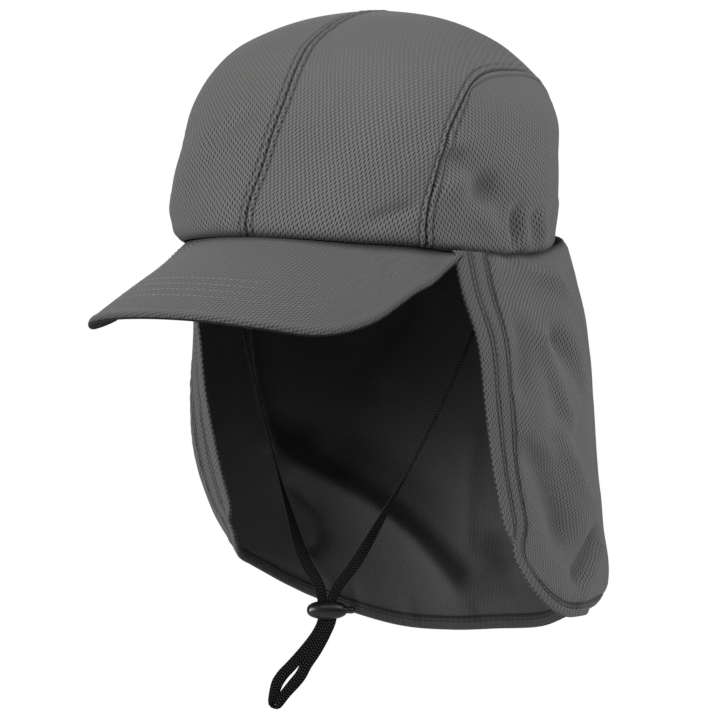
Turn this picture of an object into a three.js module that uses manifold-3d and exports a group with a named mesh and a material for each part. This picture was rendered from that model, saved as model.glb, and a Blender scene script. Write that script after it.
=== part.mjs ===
// A soft cooling cap with a stitched peak, a neck flap round the sides and back, and a flat
// chin cord through a cord lock. It keeps the form that a head gives it.
// Millimetres, +Z up. The front of the cap faces -Y and the wearer's left is +X. The origin is
// the centre of the head opening, at the level of the rim.
import * as THREE from 'three';
import { mergeVertices } from 'three/addons/utils/BufferGeometryUtils.js';
import Module from 'manifold-3d';

const wasm = await Module();
wasm.setup();

// Driving dimensions
const CLOTH = 1.4; // thickness of the knit
const GAP = 0.3; // clearance between neighbouring pieces
const DEGREE = Math.PI / 180;
const LEFT = 1; // the wearer's left, +X
const RIGHT = -1;

// The crown's sections, evenly spaced up the cloth from the rim to the top, as they stand at the
// side: height, half width, and reach ahead of and behind the ears. Squareness is the exponent
// of the section's outline in front: 2 is an ellipse, and more is squarer.
const EARS = 8; // the crown is widest here, behind the origin
const CROWN_SECTIONS = [
  { up: 0, side: 82, ahead: 103, behind: 84, square: 2.2 },
  { up: 15, side: 85.5, ahead: 102, behind: 84, square: 2.3 },
  { up: 33, side: 86, ahead: 92, behind: 87, square: 2.5 },
  { up: 49, side: 84, ahead: 83, behind: 88.5, square: 2.7 },
  { up: 64, side: 80.5, ahead: 74, behind: 84, square: 2.85 },
  { up: 78.5, side: 73, ahead: 66, behind: 75, square: 2.85 },
  { up: 90, side: 62, ahead: 56, behind: 61.5, square: 2.8 },
  { up: 98, side: 49, ahead: 42, behind: 45.5, square: 2.6 },
  { up: 103.5, side: 34, ahead: 28.5, behind: 30, square: 2.3 },
  { up: 106.5, side: 17.5, ahead: 14.5, behind: 15, square: 2 },
  { up: 107.5, side: 0, ahead: 0, behind: 0, square: 2 },
];
const SQUARE_BEHIND = 2.05;
const RIM_RISE = { front: 5, side: -5.5, back: 0 }; // the rim is not level
const RIM_FADE = 5; // how soon that dies out up the crown, as a power

// The crown's soft folds: from one place to another, as turn from the front in degrees and
// distance from the top, 1 at the rim
const CROWN_FOLDS = [
  { fromTurn: 52, fromOut: 0.72, toTurn: 86, toOut: 0.97, wide: 9, deep: 2 },
  { fromTurn: 62, fromOut: 0.76, toTurn: 92, toOut: 0.95, wide: 8, deep: -1.8 },
  { fromTurn: -10, fromOut: 0.6, toTurn: -50, toOut: 0.92, wide: 11, deep: 1.8 },
  { fromTurn: -28, fromOut: 0.62, toTurn: -58, toOut: 0.8, wide: 10, deep: -1.5 },
  { fromTurn: 30, fromOut: 0.82, toTurn: 48, toOut: 0.9, wide: 10, deep: -1.5 },
  { fromTurn: 120, fromOut: 0.7, toTurn: 150, toOut: 0.93, wide: 12, deep: -2 },
  { fromTurn: -70, fromOut: 0.72, toTurn: -100, toOut: 0.95, wide: 10, deep: 2 },
  { fromTurn: -128, fromOut: 0.68, toTurn: -152, toOut: 0.94, wide: 12, deep: -2 },
];

// The side seam arches over the ear from the temple to behind the ear. It is squarer ahead, where
// its foot also turns back a little, in degrees.
const SIDE_SEAM = { middle: 97, halfSpan: 43, top: 0.51, squareAhead: 3.3, squareBehind: 2.45, foot: 3 };
const FOOT_FADE = 8; // how soon that dies out up the seam, as a power
const MM_PER_DEGREE = 1.6; // round the rim
const MERIDIAN = 165; // cloth from the rim to the top
const RIM_RADIUS = 91; // of a round rim of the same length
// At the top the centre seam leans to the wearer's left, as a share of the way to the rim
const SEAM_LEAN = { far: 0.01, fullness: 1.4 };

// The peak's outline, from the middle of its front edge to its end at the temple
const PEAK_OUTLINE = [
  { across: 0, ahead: 163, drop: 30 },
  { across: 26, ahead: 160, drop: 31 },
  { across: 48, ahead: 150, drop: 34 },
  { across: 64, ahead: 127, drop: 37.5 },
  { across: 71.5, ahead: 97, drop: 33 },
  { across: 76.5, ahead: 69, drop: 20 },
  { across: 77.3, ahead: 56, drop: 14.5 },
  { across: 79, ahead: 43, drop: 6.5 },
];
const PEAK_THICK = 2.4;
const PEAK_EDGE = 3.2; // its rolled edge
const PEAK_END = 60; // degrees from the front
const PEAK_BULGE = 2; // how far the peak is arched over its length

// The flap's sections by height: half widths left and right, where it is widest, reach ahead and
// behind of that, where each free front edge stands ahead of the origin, and how many degrees the
// right front margin is turned in
const FLAP_SECTIONS = [
  { up: 4, left: 86, right: 86, middle: 8, ahead: 104, behind: 95, edgeLeft: 38, edgeRight: 40, curl: 14 },
  { up: -20, left: 89, right: 88, middle: 9, ahead: 102, behind: 101.5, edgeLeft: 35, edgeRight: 39, curl: 20 },
  { up: -45, left: 93.5, right: 91.5, middle: 12, ahead: 102, behind: 106.5, edgeLeft: 31, edgeRight: 36.5, curl: 33 },
  { up: -75, left: 94.5, right: 97.5, middle: 16, ahead: 100, behind: 107.5, edgeLeft: 27, edgeRight: 32.5, curl: 49 },
  { up: -105, left: 95, right: 101.5, middle: 20, ahead: 96, behind: 107.5, edgeLeft: 21, edgeRight: 23.5, curl: 67 },
  { up: -135, left: 96.5, right: 101, middle: 22, ahead: 92, behind: 109.5, edgeLeft: 15, edgeRight: 4, curl: 70 },
  { up: -165, left: 96.5, right: 97.5, middle: 23, ahead: 90, behind: 110, edgeLeft: 12, edgeRight: -21, curl: 45 },
  { up: -205, left: 92, right: 96.5, middle: 24, ahead: 88, behind: 108, edgeLeft: 10, edgeRight: -32, curl: 20 },
];
// The flap's soft folds: a line on the flat cloth from one place to another, how wide the fold
// is to each side and how far it stands out, or in if negative
const FLAP_FOLDS = [
  { fromAlong: 132, fromUp: 0, toAlong: 126, toUp: -80, wide: 14, deep: 3.5 },
  { fromAlong: 170, fromUp: -70, toAlong: 134, toUp: -140, wide: 13, deep: 3 },
  { fromAlong: 150, fromUp: -45, toAlong: 158, toUp: -150, wide: 10, deep: -2 },
  { fromAlong: -128, fromUp: -104, toAlong: -78, toUp: -140, wide: 17, deep: -6 },
  { fromAlong: -86, fromUp: -132, toAlong: -30, toUp: -188, wide: 17, deep: -7 },
  { fromAlong: -86, fromUp: -100, toAlong: -14, toUp: -174, wide: 16, deep: 4 },
  { fromAlong: -150, fromUp: -30, toAlong: -136, toUp: -105, wide: 13, deep: -3.5 },
  { fromAlong: -20, fromUp: -95, toAlong: -30, toUp: -160, wide: 14, deep: -3 },
  { fromAlong: -36, fromUp: -25, toAlong: -74, toUp: -80, wide: 12, deep: 3 },
  { fromAlong: 60, fromUp: -60, toAlong: 48, toUp: -190, wide: 22, deep: 4 },
  { fromAlong: 12, fromUp: -70, toAlong: 8, toUp: -195, wide: 16, deep: 3 },
  { fromAlong: 60, fromUp: -186, toAlong: 128, toUp: -184, wide: 10, deep: -8 },
  { fromAlong: -52, fromUp: 4, toAlong: 52, toUp: 4, wide: 15, deep: -8 },
];
const FLAP_SQUARE = 2;
const FLAP_HALF = 195; // of the flap's cut width, from the centre back to its front edge
const FLAP_CORNER = 45; // radius of its rounded corners
const FLAP_TOP = { front: -0.3, back: 4, from: 142, to: 92 }; // it laps over the rim behind
const FLAP_FOOT = -172.5; // its hem, before the drops
// How much lower the hem hangs, evenly spaced from the right front edge to the left one
const HEM_DROPS = [
  { along: -195, drop: 0 },
  { along: -165, drop: -1.6 },
  { along: -135, drop: 9.3 },
  { along: -105, drop: 18.6 },
  { along: -75, drop: 24.6 },
  { along: -45, drop: 27.2 },
  { along: -15, drop: 26.5 },
  { along: 15, drop: 23.5 },
  { along: 45, drop: 12.5 },
  { along: 75, drop: 6 },
  { along: 105, drop: 5 },
  { along: 135, drop: 5 },
  { along: 165, drop: 3.5 },
  { along: 195, drop: 0 },
];
const FLAP_SIDE_FADE = 60; // below the rim, where the flap stops following the rim's rise
const STRIP_WIDE = 6.5; // the hem strip and the binding beside it
const STRIP_STEP = STRIP_WIDE + GAP;
const STRIP_FLARE = { more: 0.3, over: 125 }; // both are wider at the rim by this share
const STRIP_THICK = 2;
// Down the front edges a second strip lies outside the binding. It ends here, in millimetres
// from the rim, and below that the binding is the edge.
const KINK = { from: 128, to: 147 };
const KINK_TAPER = 0.65; // how far the strip's outer edge comes in there
// The right front margin, and the part of it that bends before the rest of it lies flat
const CURL = { wide: 21, bend: 8 };

// The chin cord is flat. One strand's route from the ear down to the lock, the other's mirrored:
// places, and the direction that the flat side faces, in degrees round from the wearer's left
const CORD_WIDE = 4.4;
const CORD_THICK = 1.3;
const STRAND = [
  { x: 81.8, y: -5, z: 2, faces: 0 },
  { x: 77.7, y: -5.5, z: -10, faces: 10 },
  { x: 71.5, y: -7.5, z: -30, faces: 28 },
  { x: 62, y: -11, z: -55, faces: 35 },
  { x: 51.5, y: -15.5, z: -80, faces: 35 },
  { x: 39, y: -20.5, z: -106, faces: 28 },
  { x: 26.5, y: -25.5, z: -130, faces: -5 },
  { x: 15.5, y: -29.5, z: -150, faces: -40 },
];
// Below that the strands run side by side in the lock's own plane: along the lock, down from its
// middle, and each strand's distance from the middle of the two
const LOCK = { x: 0, y: -32, z: -173.8, turn: 35 };
const TAIL = [
  { along: 0.9, down: -11, apart: 4.3, deep: 0 },
  { along: 0.1, down: -6.2, apart: 2.7, deep: 0 },
  { along: 0, down: -4.5, apart: 2.4, deep: 0 },
  { along: 0, down: 4.5, apart: 2.35, deep: 0 },
  { along: -2.4, down: 10.5, apart: 2.55, deep: 0 },
  { along: -7.4, down: 18.5, apart: 2.78, deep: 0 },
  { along: -13.4, down: 26.3, apart: 2.95, deep: 0.1 },
  { along: -17.2, down: 30.8, apart: 3.7, deep: 0.5 },
  { along: -20.6, down: 35, apart: 2.9, deep: 1.1 },
  { along: -23.8, down: 39.5, apart: 1.6, deep: 1.7 },
  { along: -25.8, down: 43, apart: 0.7, deep: 1.9 },
];
const TAIL_FOLD = 1.9; // radius of the fold at the cord's end
const TAIL_TIP = 0.6; // how far the fold's middle leans on
const CORD_CHAMFER = 0.4;
const CORD_STEPS = 66;

// The cord lock, along its own length: a barrel with a slot for both strands, and a plunger
// with a longer slot, so that it can be pressed in
const BARREL = { long: 19, high: 9, deep: 8.4 };
const SLOT = { long: 10, deep: 2.6 };
const PLUNGER = { high: 3.6, deep: 4.8, head: 13.4, tail: -6 };
const PRESS = 1.8; // the button's travel

function clamp(value, low, high) {
  return Math.min(Math.max(value, low), high);
}

function smoothStep(from, to, value) {
  const t = clamp((value - from) / (to - from), 0, 1);
  return t * t * (3 - 2 * t);
}

// A smooth value between four evenly spaced neighbours, the middle two enclosing it
function blendFour(before, low, high, after, t) {
  const slopeLow = (high - before) / 2;
  const slopeHigh = (after - low) / 2;
  const bend = 2 * (low - high) + slopeLow + slopeHigh;
  return low + t * (slopeLow + t * (3 * (high - low) - 2 * slopeLow - slopeHigh + t * bend));
}

// A column of a table of sections at a row that need not be whole. Past its last row a table
// of the crown goes on as over the top, where reaches change sign and heights come down again.
function columnAt(rows, column, at, overTop) {
  const last = rows.length - 1;
  const low = clamp(Math.floor(at), 0, last - 1);
  const value = (i) => {
    if (i < 0) return 2 * rows[0][column] - rows[1][column];
    if (i <= last) return rows[i][column];
    if (overTop) return column === 'up' || column === 'square' ? rows[last - 1][column] : -rows[last - 1][column];
    return 2 * rows[last][column] - rows[last - 1][column];
  };
  return blendFour(value(low - 1), value(low), value(low + 1), value(low + 2), at - low);
}

// Where a table's height column reaches a height
function rowAtHeight(rows, up) {
  let low = 0;
  let high = rows.length - 1;
  for (let step = 0; step < 30; step++) {
    const middle = (low + high) / 2;
    if (columnAt(rows, 'up', middle, false) > up) low = middle;
    else high = middle;
  }
  return (low + high) / 2;
}

// A point of a section's outline, in a direction of the plan: 0 is straight ahead
function outlinePoint(side, ahead, behind, square, turn) {
  const power = Math.cos(turn) > 0 ? square : SQUARE_BEHIND;
  const reach = (Math.abs(Math.sin(turn)) ** power + Math.abs(Math.cos(turn)) ** power) ** (-1 / power);
  const along = Math.cos(turn) > 0 ? ahead : behind;
  return { x: side * reach * Math.sin(turn), y: EARS - along * reach * Math.cos(turn) };
}

function rimRise(turn) {
  const swing = (RIM_RISE.front - RIM_RISE.back) / 2;
  const mean = (RIM_RISE.front + RIM_RISE.back) / 2;
  const double = (mean - RIM_RISE.side) / 2;
  return mean - double + swing * Math.cos(turn) + double * Math.cos(2 * turn);
}

// The crown lies over a flat disc: its centre is the top of the crown and its edge the rim.
// In the disc, ahead is -b and the wearer's left is +a.
function crownPoint(a, b) {
  const out = Math.hypot(a, b);
  const turn = Math.atan2(a, -b);
  const at = (1 - out) * (CROWN_SECTIONS.length - 1);
  const value = (column) => columnAt(CROWN_SECTIONS, column, at, true);
  const plan = outlinePoint(value('side'), value('ahead'), value('behind'), value('square'), turn);
  return new THREE.Vector3(plan.x, plan.y, value('up') + rimRise(turn) * out ** RIM_FADE);
}

// How far a fold's ridge lifts the cloth at a place in its flat layout, all in millimetres
function foldLift(fold, along, up) {
  const run = { along: fold.toAlong - fold.fromAlong, up: fold.toUp - fold.fromUp };
  const length = Math.hypot(run.along, run.up);
  const here = { along: along - fold.fromAlong, up: up - fold.fromUp };
  const travelled = (here.along * run.along + here.up * run.up) / length;
  const aside = (here.along * run.up - here.up * run.along) / length;
  const ends = smoothStep(-fold.wide, fold.wide, travelled) * smoothStep(-fold.wide, fold.wide, length - travelled);
  return fold.deep * ends * Math.exp(-((aside / fold.wide) ** 2));
}

function crownLift(a, b) {
  const flat = (turn, out) => ({ along: out * RIM_RADIUS * turn, up: -out * MERIDIAN });
  const here = flat(Math.atan2(a, -b), Math.hypot(a, b));
  return CROWN_FOLDS.reduce((total, fold) => {
    const from = flat(fold.fromTurn * DEGREE, fold.fromOut);
    const to = flat(fold.toTurn * DEGREE, fold.toOut);
    const line = { fromAlong: from.along, fromUp: from.up, toAlong: to.along, toUp: to.up, wide: fold.wide, deep: fold.deep };
    return total + foldLift(line, here.along, here.up);
  }, 0);
}

function flapLift(along, up) {
  return FLAP_FOLDS.reduce((total, fold) => total + foldLift(fold, along, up), 0);
}

// The flap hangs from the rim. Its cloth is laid out flat as distance from the centre back
// along the rim, and height. A level walks its outline from the centre back to each front edge.
const WALK_STEP = DEGREE / 2;
const flapLevels = new Map();

function flapPlan(level, turn) {
  const side = turn > 0 ? level.left : level.right;
  const power = FLAP_SQUARE;
  const reach = (Math.abs(Math.sin(turn)) ** power + Math.abs(Math.cos(turn)) ** power) ** (-1 / power);
  const along = Math.cos(turn) > 0 ? level.ahead : level.behind;
  return { x: side * reach * Math.sin(turn), y: level.middle - along * reach * Math.cos(turn) };
}

function walkLevel(level, hand, edge) {
  const walked = [0];
  let here = flapPlan(level, Math.PI);
  for (let turn = WALK_STEP; turn < Math.PI; turn += WALK_STEP) {
    const next = flapPlan(level, hand * (Math.PI - turn));
    const before = walked[walked.length - 1];
    walked.push(before + Math.hypot(next.x - here.x, next.y - here.y));
    if (next.y < -edge) {
      const part = (here.y + edge) / (here.y - next.y);
      return { walked, length: before + part * (walked[walked.length - 1] - before) };
    }
    here = next;
  }
  return { walked, length: walked[walked.length - 1] };
}

function flapLevel(up) {
  const key = Math.round(up * 8);
  if (!flapLevels.has(key)) {
    const at = rowAtHeight(FLAP_SECTIONS, key / 8);
    const level = {};
    for (const column of Object.keys(FLAP_SECTIONS[0])) level[column] = columnAt(FLAP_SECTIONS, column, at, false);
    level.walks = { [LEFT]: walkLevel(level, LEFT, level.edgeLeft), [RIGHT]: walkLevel(level, RIGHT, level.edgeRight) };
    flapLevels.set(key, level);
  }
  return flapLevels.get(key);
}

// A place in the plan at a distance from the centre back, on one side
function planAt(level, hand, distance) {
  const { walked, length } = level.walks[hand];
  const goal = distance / FLAP_HALF * length;
  const found = walked.findIndex((reached) => reached > goal) - 1;
  const step = found < 0 ? walked.length - 2 : found;
  const turn = hand * (Math.PI - WALK_STEP * (step + (goal - walked[step]) / (walked[step + 1] - walked[step])));
  return { ...flapPlan(level, turn), turn };
}

function flapPoint(along, up) {
  const level = flapLevel(up);
  const hand = along < 0 ? RIGHT : LEFT;
  const straight = hand === RIGHT ? Math.min(-along, FLAP_HALF - CURL.wide) : along;
  const here = planAt(level, hand, straight);
  const point = new THREE.Vector3(here.x, here.y, up + rimRise(here.turn) * smoothStep(-FLAP_SIDE_FADE, 0, up));
  const past = Math.abs(along) - straight;
  if (past <= 0) return point;
  const before = planAt(level, hand, straight - 1);
  const heading = new THREE.Vector3(here.x - before.x, here.y - before.y, 0).normalize();
  const inward = new THREE.Vector3(-heading.y, heading.x, 0);
  const turned = level.curl * DEGREE;
  const radius = CURL.bend / turned;
  const bent = Math.min(past / CURL.bend, 1) * turned;
  const flat = Math.max(past - CURL.bend, 0);
  point.addScaledVector(heading, radius * Math.sin(bent) + flat * Math.cos(turned));
  return point.addScaledVector(inward, radius * (1 - Math.cos(bent)) + flat * Math.sin(turned));
}

// The outward normal of a surface, from two short steps along it
function normalOf(pointAt, a, b, step) {
  const alongA = pointAt(a + step, b).sub(pointAt(a - step, b));
  const alongB = pointAt(a, b + step).sub(pointAt(a, b - step));
  return alongA.cross(alongB).normalize();
}

// One closed body from vertices and triangles, turned inside out if its faces point in
function closedBody(vertices, triangles) {
  let volume = 0;
  for (const [i, j, k] of triangles) {
    volume += vertices[i].dot(vertices[j].clone().cross(vertices[k]));
  }
  const index = triangles.flatMap(([i, j, k]) => (volume > 0 ? [i, j, k] : [i, k, j]));
  const geometry = new THREE.BufferGeometry();
  geometry.setAttribute('position', new THREE.Float32BufferAttribute(vertices.flatMap((v) => v.toArray()), 3));
  geometry.setIndex(index);
  geometry.computeVertexNormals();
  return geometry;
}

// A closed wall from two grids of vertices, the outer face's and then the inner face's
function wallBetween(vertices, columns, rows) {
  const wide = columns + 1;
  const inner = wide * (rows + 1);
  const triangles = [];
  const quad = (p, q, r, s) => triangles.push([p, q, r], [p, r, s]);
  for (let j = 0; j < rows; j++) {
    for (let i = 0; i < columns; i++) {
      const p = j * wide + i;
      quad(p, p + 1, p + 1 + wide, p + wide);
      quad(inner + p, inner + p + wide, inner + p + 1 + wide, inner + p + 1);
    }
  }
  const border = [];
  for (let i = 0; i < columns; i++) border.push(i);
  for (let j = 0; j < rows; j++) border.push(j * wide + columns);
  for (let i = columns; i > 0; i--) border.push(rows * wide + i);
  for (let j = rows; j > 0; j--) border.push(j * wide);
  const between = (p, q) => vertices[p].distanceTo(vertices[q]);
  border.forEach((p, k) => {
    const q = border[(k + 1) % border.length];
    // split along the shorter diagonal, so that walls either side of a seam run parallel
    if (between(q, inner + p) < between(p, inner + q)) quad(q, p, inner + p, inner + q);
    else quad(p, inner + p, inner + q, q);
  });
  return closedBody(vertices, triangles);
}

// A wall of cloth: patch(u, v) gives a place on the flat layout, pointAt its place in space.
// The wall's outer face stands `proud` of the surface, and its inner face a thickness below.
// The normal is turned outward by the sign `outward`.
function clothWall({ pointAt, liftAt, patch, columns, rows, thick, proud, step, outward }) {
  const vertices = [];
  for (const depth of [proud, proud - thick]) {
    for (let j = 0; j <= rows; j++) {
      for (let i = 0; i <= columns; i++) {
        const [a, b] = patch(i / columns, j / rows);
        const normal = normalOf(pointAt, a, b, step).multiplyScalar(outward * (depth + liftAt(a, b)));
        vertices.push(pointAt(a, b).add(normal));
      }
    }
  }
  return wallBetween(vertices, columns, rows);
}

// A patch between four border curves, each from 0 to 1: bottom and top run with u, left and
// right with v
function coonsPatch(bottom, top, left, right) {
  return (u, v) => [0, 1].map((k) => (1 - v) * bottom(u)[k] + v * top(u)[k]
    + (1 - u) * left(v)[k] + u * right(v)[k]
    - (1 - u) * (1 - v) * bottom(0)[k] - u * (1 - v) * bottom(1)[k]
    - (1 - u) * v * top(0)[k] - u * v * top(1)[k]);
}

function onDisc(turn, out) {
  return [out * Math.sin(turn), -out * Math.cos(turn)];
}

// A place on the side seam, from 0 at the temple to 1 behind the ear, moved off the seam by
// `aside` millimetres: outside the D for the top panel, inside it for the side panel
function sideSeam(t, aside) {
  const reach = SIDE_SEAM.halfSpan + aside / MM_PER_DEGREE;
  const rise = SIDE_SEAM.top + aside / MERIDIAN;
  const lean = Math.cos(t * Math.PI);
  const power = 2 / (t < 0.5 ? SIDE_SEAM.squareAhead : SIDE_SEAM.squareBehind);
  const arch = Math.max(Math.sin(t * Math.PI), 0) ** power;
  const foot = t < 0.5 ? SIDE_SEAM.foot * (1 - arch) ** FOOT_FADE : 0;
  const turn = SIDE_SEAM.middle + foot - reach * Math.sign(lean) * Math.abs(lean) ** power;
  return onDisc(turn * DEGREE, 1 - rise * arch);
}

const SEAM_HALF = GAP / 2 + 0.05;
// Steps of the two pieces along a side seam: up one side of the D, over its top and down
const SEAM_STEPS = { upright: 10, over: 14 };
const SEAM_TOTAL = 2 * SEAM_STEPS.upright + SEAM_STEPS.over;
const TOP_COLUMNS = 8; // of a top panel, from the centre seam to the side seam

function sidePanel(hand) {
  const foot = [sideSeam(0, -SEAM_HALF), sideSeam(1, -SEAM_HALF)].map(([a, b]) => Math.atan2(a, -b));
  const upright = SEAM_STEPS.upright / SEAM_TOTAL;
  const patch = coonsPatch(
    (u) => onDisc(foot[0] + u * (foot[1] - foot[0]), 1),
    (u) => sideSeam(upright + u * (1 - 2 * upright), -SEAM_HALF),
    (v) => sideSeam(upright * v, -SEAM_HALF),
    (v) => sideSeam(1 - upright * v, -SEAM_HALF),
  );
  return crownWall(hand, patch, SEAM_STEPS.over, SEAM_STEPS.upright);
}

function topPanel(hand) {
  const foot = [sideSeam(0, SEAM_HALF), sideSeam(1, SEAM_HALF)].map(([a, b]) => Math.atan2(a, -b));
  const middle = SEAM_HALF / MM_PER_DEGREE * DEGREE;
  const patch = coonsPatch(
    (u) => onDisc(middle + u * (foot[0] - middle), 1),
    (u) => onDisc(Math.PI - middle + u * (foot[1] - Math.PI + middle), 1),
    (v) => [middle + hand * SEAM_LEAN.far * Math.sin(Math.PI * v) ** SEAM_LEAN.fullness, -1 + 2 * v],
    (v) => sideSeam(v, SEAM_HALF),
  );
  return crownWall(hand, patch, TOP_COLUMNS, SEAM_TOTAL);
}

function crownWall(hand, patch, columns, rows) {
  const pointAt = (a, b) => crownPoint(hand * a, b);
  const liftAt = (a, b) => crownLift(hand * a, b);
  const walls = { thick: CLOTH, proud: CLOTH };
  return clothWall({ pointAt, liftAt, patch, columns, rows, ...walls, step: 0.01, outward: hand });
}

// The peak runs from the rim, just under the crown, to its outline
const outlineCurve = new THREE.CatmullRomCurve3([
  ...PEAK_OUTLINE.slice(1).reverse().map((p) => new THREE.Vector3(-p.across, -p.ahead, -p.drop)),
  ...PEAK_OUTLINE.map((p) => new THREE.Vector3(p.across, -p.ahead, -p.drop)),
]);
const PEAK_TUCK = 1.2; // how far the peak reaches in under the crown's edge

function peakPoint(across, forward) {
  const turn = (2 * clamp(across, 0, 1) - 1) * PEAK_END * DEGREE;
  const [a, b] = onDisc(turn, 1);
  const root = crownPoint(a, b);
  const inward = new THREE.Vector3(-root.x, -root.y, 0).setLength(PEAK_TUCK);
  root.add(inward);
  root.z -= GAP;
  const edge = outlineCurve.getPointAt(clamp(across, 0, 1));
  const point = root.lerp(edge, forward);
  point.z += PEAK_BULGE * 4 * forward * (1 - forward) * Math.sin(Math.PI * clamp(across, 0, 1));
  return point;
}

function peak() {
  const columns = 30;
  const rows = 5;
  const vertices = [];
  for (const below of [false, true]) {
    for (let j = 0; j <= rows; j++) {
      for (let i = 0; i <= columns; i++) {
        const point = peakPoint(i / columns, j / rows);
        const swell = j === rows ? (PEAK_EDGE - PEAK_THICK) / 2 : 0;
        point.z += below ? -PEAK_THICK - swell : swell;
        vertices.push(point);
      }
    }
  }
  return wallBetween(vertices, columns, rows);
}

function flapTop(along) {
  const lap = smoothStep(FLAP_TOP.from, FLAP_TOP.to, Math.abs(along));
  return [along, FLAP_TOP.front + (FLAP_TOP.back - FLAP_TOP.front) * lap];
}

function hemUp(along) {
  const spacing = HEM_DROPS[1].along - HEM_DROPS[0].along;
  return FLAP_FOOT - columnAt(HEM_DROPS, 'drop', (along - HEM_DROPS[0].along) / spacing, false);
}

// Steps of the flap and its strips along their shared outline: down one front edge, round the
// hem and up the other
const FLAP_STEPS = { upright: 17, over: 44 };
const FLAP_TOTAL = 2 * FLAP_STEPS.upright + FLAP_STEPS.over;
const EDGE_STRIP_STEPS = 16;

// The flap's flat outline from the top of one front edge, down, round the corner, along the hem
// and up the other: t from 0 to 1. `insetOf` says how far inside the cut edge it runs, given how
// far inside it the binding's outer edge lies.
function flapOutline(t, insetOf) {
  const straight = FLAP_TOP.front - FLAP_FOOT - FLAP_CORNER;
  const quarter = FLAP_CORNER * Math.PI / 2;
  const run = FLAP_HALF - FLAP_CORNER;
  const side = t < 0.5 ? LEFT : RIGHT;
  const walked = (1 - Math.abs(2 * t - 1)) * (straight + quarter + run);
  const flare = 1 + STRIP_FLARE.more * (1 - smoothStep(0, STRIP_FLARE.over, walked));
  const inset = flare * insetOf(STRIP_STEP * (1 - smoothStep(KINK.from, KINK.to, walked)));
  const corner = FLAP_CORNER - inset;
  if (walked <= straight) return [side * (FLAP_HALF - inset), FLAP_TOP.front - walked];
  if (walked <= straight + quarter) {
    const turn = (walked - straight) / FLAP_CORNER;
    const along = side * (run + corner * Math.cos(turn));
    return [along, hemUp(side * (run + FLAP_CORNER * Math.cos(turn))) + FLAP_CORNER - corner * Math.sin(turn)];
  }
  const along = side * (straight + quarter + run - walked);
  return [along, hemUp(along) + inset];
}

function flapWall(patch, columns, rows, thick, proud) {
  const surface = { pointAt: flapPoint, liftAt: flapLift, step: 0.5, outward: -1 };
  return clothWall({ ...surface, patch, columns, rows, thick, proud });
}

function neckFlap() {
  const insetOf = (binding) => binding + STRIP_STEP;
  const corner = FLAP_STEPS.upright / FLAP_TOTAL;
  const patch = coonsPatch(
    (u) => flapTop((FLAP_HALF - 2 * STRIP_STEP * (1 + STRIP_FLARE.more)) * (1 - 2 * u)),
    (u) => flapOutline(corner + u * (1 - 2 * corner), insetOf),
    (v) => flapOutline(corner * v, insetOf),
    (v) => flapOutline(1 - corner * v, insetOf),
  );
  return flapWall(patch, FLAP_STEPS.over, FLAP_STEPS.upright, CLOTH, CLOTH);
}

// A strip between two insets, from one step of the outline to another
function flapStrip(from, to, outerOf, innerOf) {
  const patch = (u, v) => {
    const t = (from + u * (to - from)) / FLAP_TOTAL;
    const [outer, inner] = [flapOutline(t, outerOf), flapOutline(t, innerOf)];
    return [0, 1].map((k) => outer[k] + v * (inner[k] - outer[k]));
  };
  return flapWall(patch, to - from, 2, STRIP_THICK, CLOTH + GAP);
}

function edgeStrip(from, to) {
  return flapStrip(from, to, (binding) => KINK_TAPER * (STRIP_STEP - binding), (binding) => binding - GAP);
}

// A route whose flat side faces where the list says
class FlatRoute extends THREE.CatmullRomCurve3 {
  constructor(places, facings) {
    super(places, false, 'centripetal');
    this.facing = new THREE.CatmullRomCurve3(facings, false, 'catmullrom');
  }

  computeFrenetFrames(steps) {
    const frames = { tangents: [], normals: [], binormals: [] };
    for (let i = 0; i <= steps; i++) {
      const tangent = this.getTangentAt(i / steps);
      const facing = this.facing.getPoint(this.getUtoTmapping(i / steps));
      const normal = facing.addScaledVector(tangent, -facing.dot(tangent)).normalize();
      frames.tangents.push(tangent);
      frames.normals.push(normal);
      frames.binormals.push(tangent.clone().cross(normal));
    }
    return frames;
  }
}

function lockPlace(along, down, deep) {
  const turn = LOCK.turn * DEGREE;
  return new THREE.Vector3(
    LOCK.x + along * Math.cos(turn) + deep * Math.sin(turn),
    LOCK.y + along * Math.sin(turn) - deep * Math.cos(turn),
    LOCK.z - down,
  );
}

function cordRoute() {
  const places = [];
  const facings = [];
  const put = (place, facing) => {
    places.push(place);
    facings.push(facing);
  };
  const away = lockPlace(0, 0, 1).sub(lockPlace(0, 0, 0)); // out of the lock's front
  const facingIn = (degrees) => new THREE.Vector3(Math.cos(degrees * DEGREE), Math.sin(degrees * DEGREE), 0);
  STRAND.forEach((row) => put(new THREE.Vector3(row.x, row.y, row.z), facingIn(row.faces)));
  TAIL.forEach((row) => put(lockPlace(row.along + row.apart, row.down, row.deep), away));
  const last = TAIL[TAIL.length - 1];
  put(lockPlace(last.along - TAIL_TIP, last.down + TAIL_FOLD, 0), new THREE.Vector3(0, 0, 1));
  [...TAIL].reverse().forEach((row) => put(lockPlace(row.along - row.apart, row.down, -row.deep), away.clone().negate()));
  [...STRAND].reverse().forEach((row) => put(new THREE.Vector3(-row.x, row.y, row.z), facingIn(180 + row.faces)));
  return new FlatRoute(places, facings);
}

function chinCord() {
  const section = new THREE.Shape();
  const [thick, wide, chamfer] = [CORD_THICK / 2, CORD_WIDE / 2, CORD_CHAMFER];
  section.moveTo(thick, wide - chamfer);
  section.lineTo(thick - chamfer, wide);
  section.lineTo(chamfer - thick, wide);
  section.lineTo(-thick, wide - chamfer);
  section.lineTo(-thick, chamfer - wide);
  section.lineTo(chamfer - thick, -wide);
  section.lineTo(thick - chamfer, -wide);
  section.lineTo(thick, chamfer - wide);
  section.closePath();
  return new THREE.ExtrudeGeometry(section, { steps: CORD_STEPS, extrudePath: cordRoute(), bevelEnabled: false });
}

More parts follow.
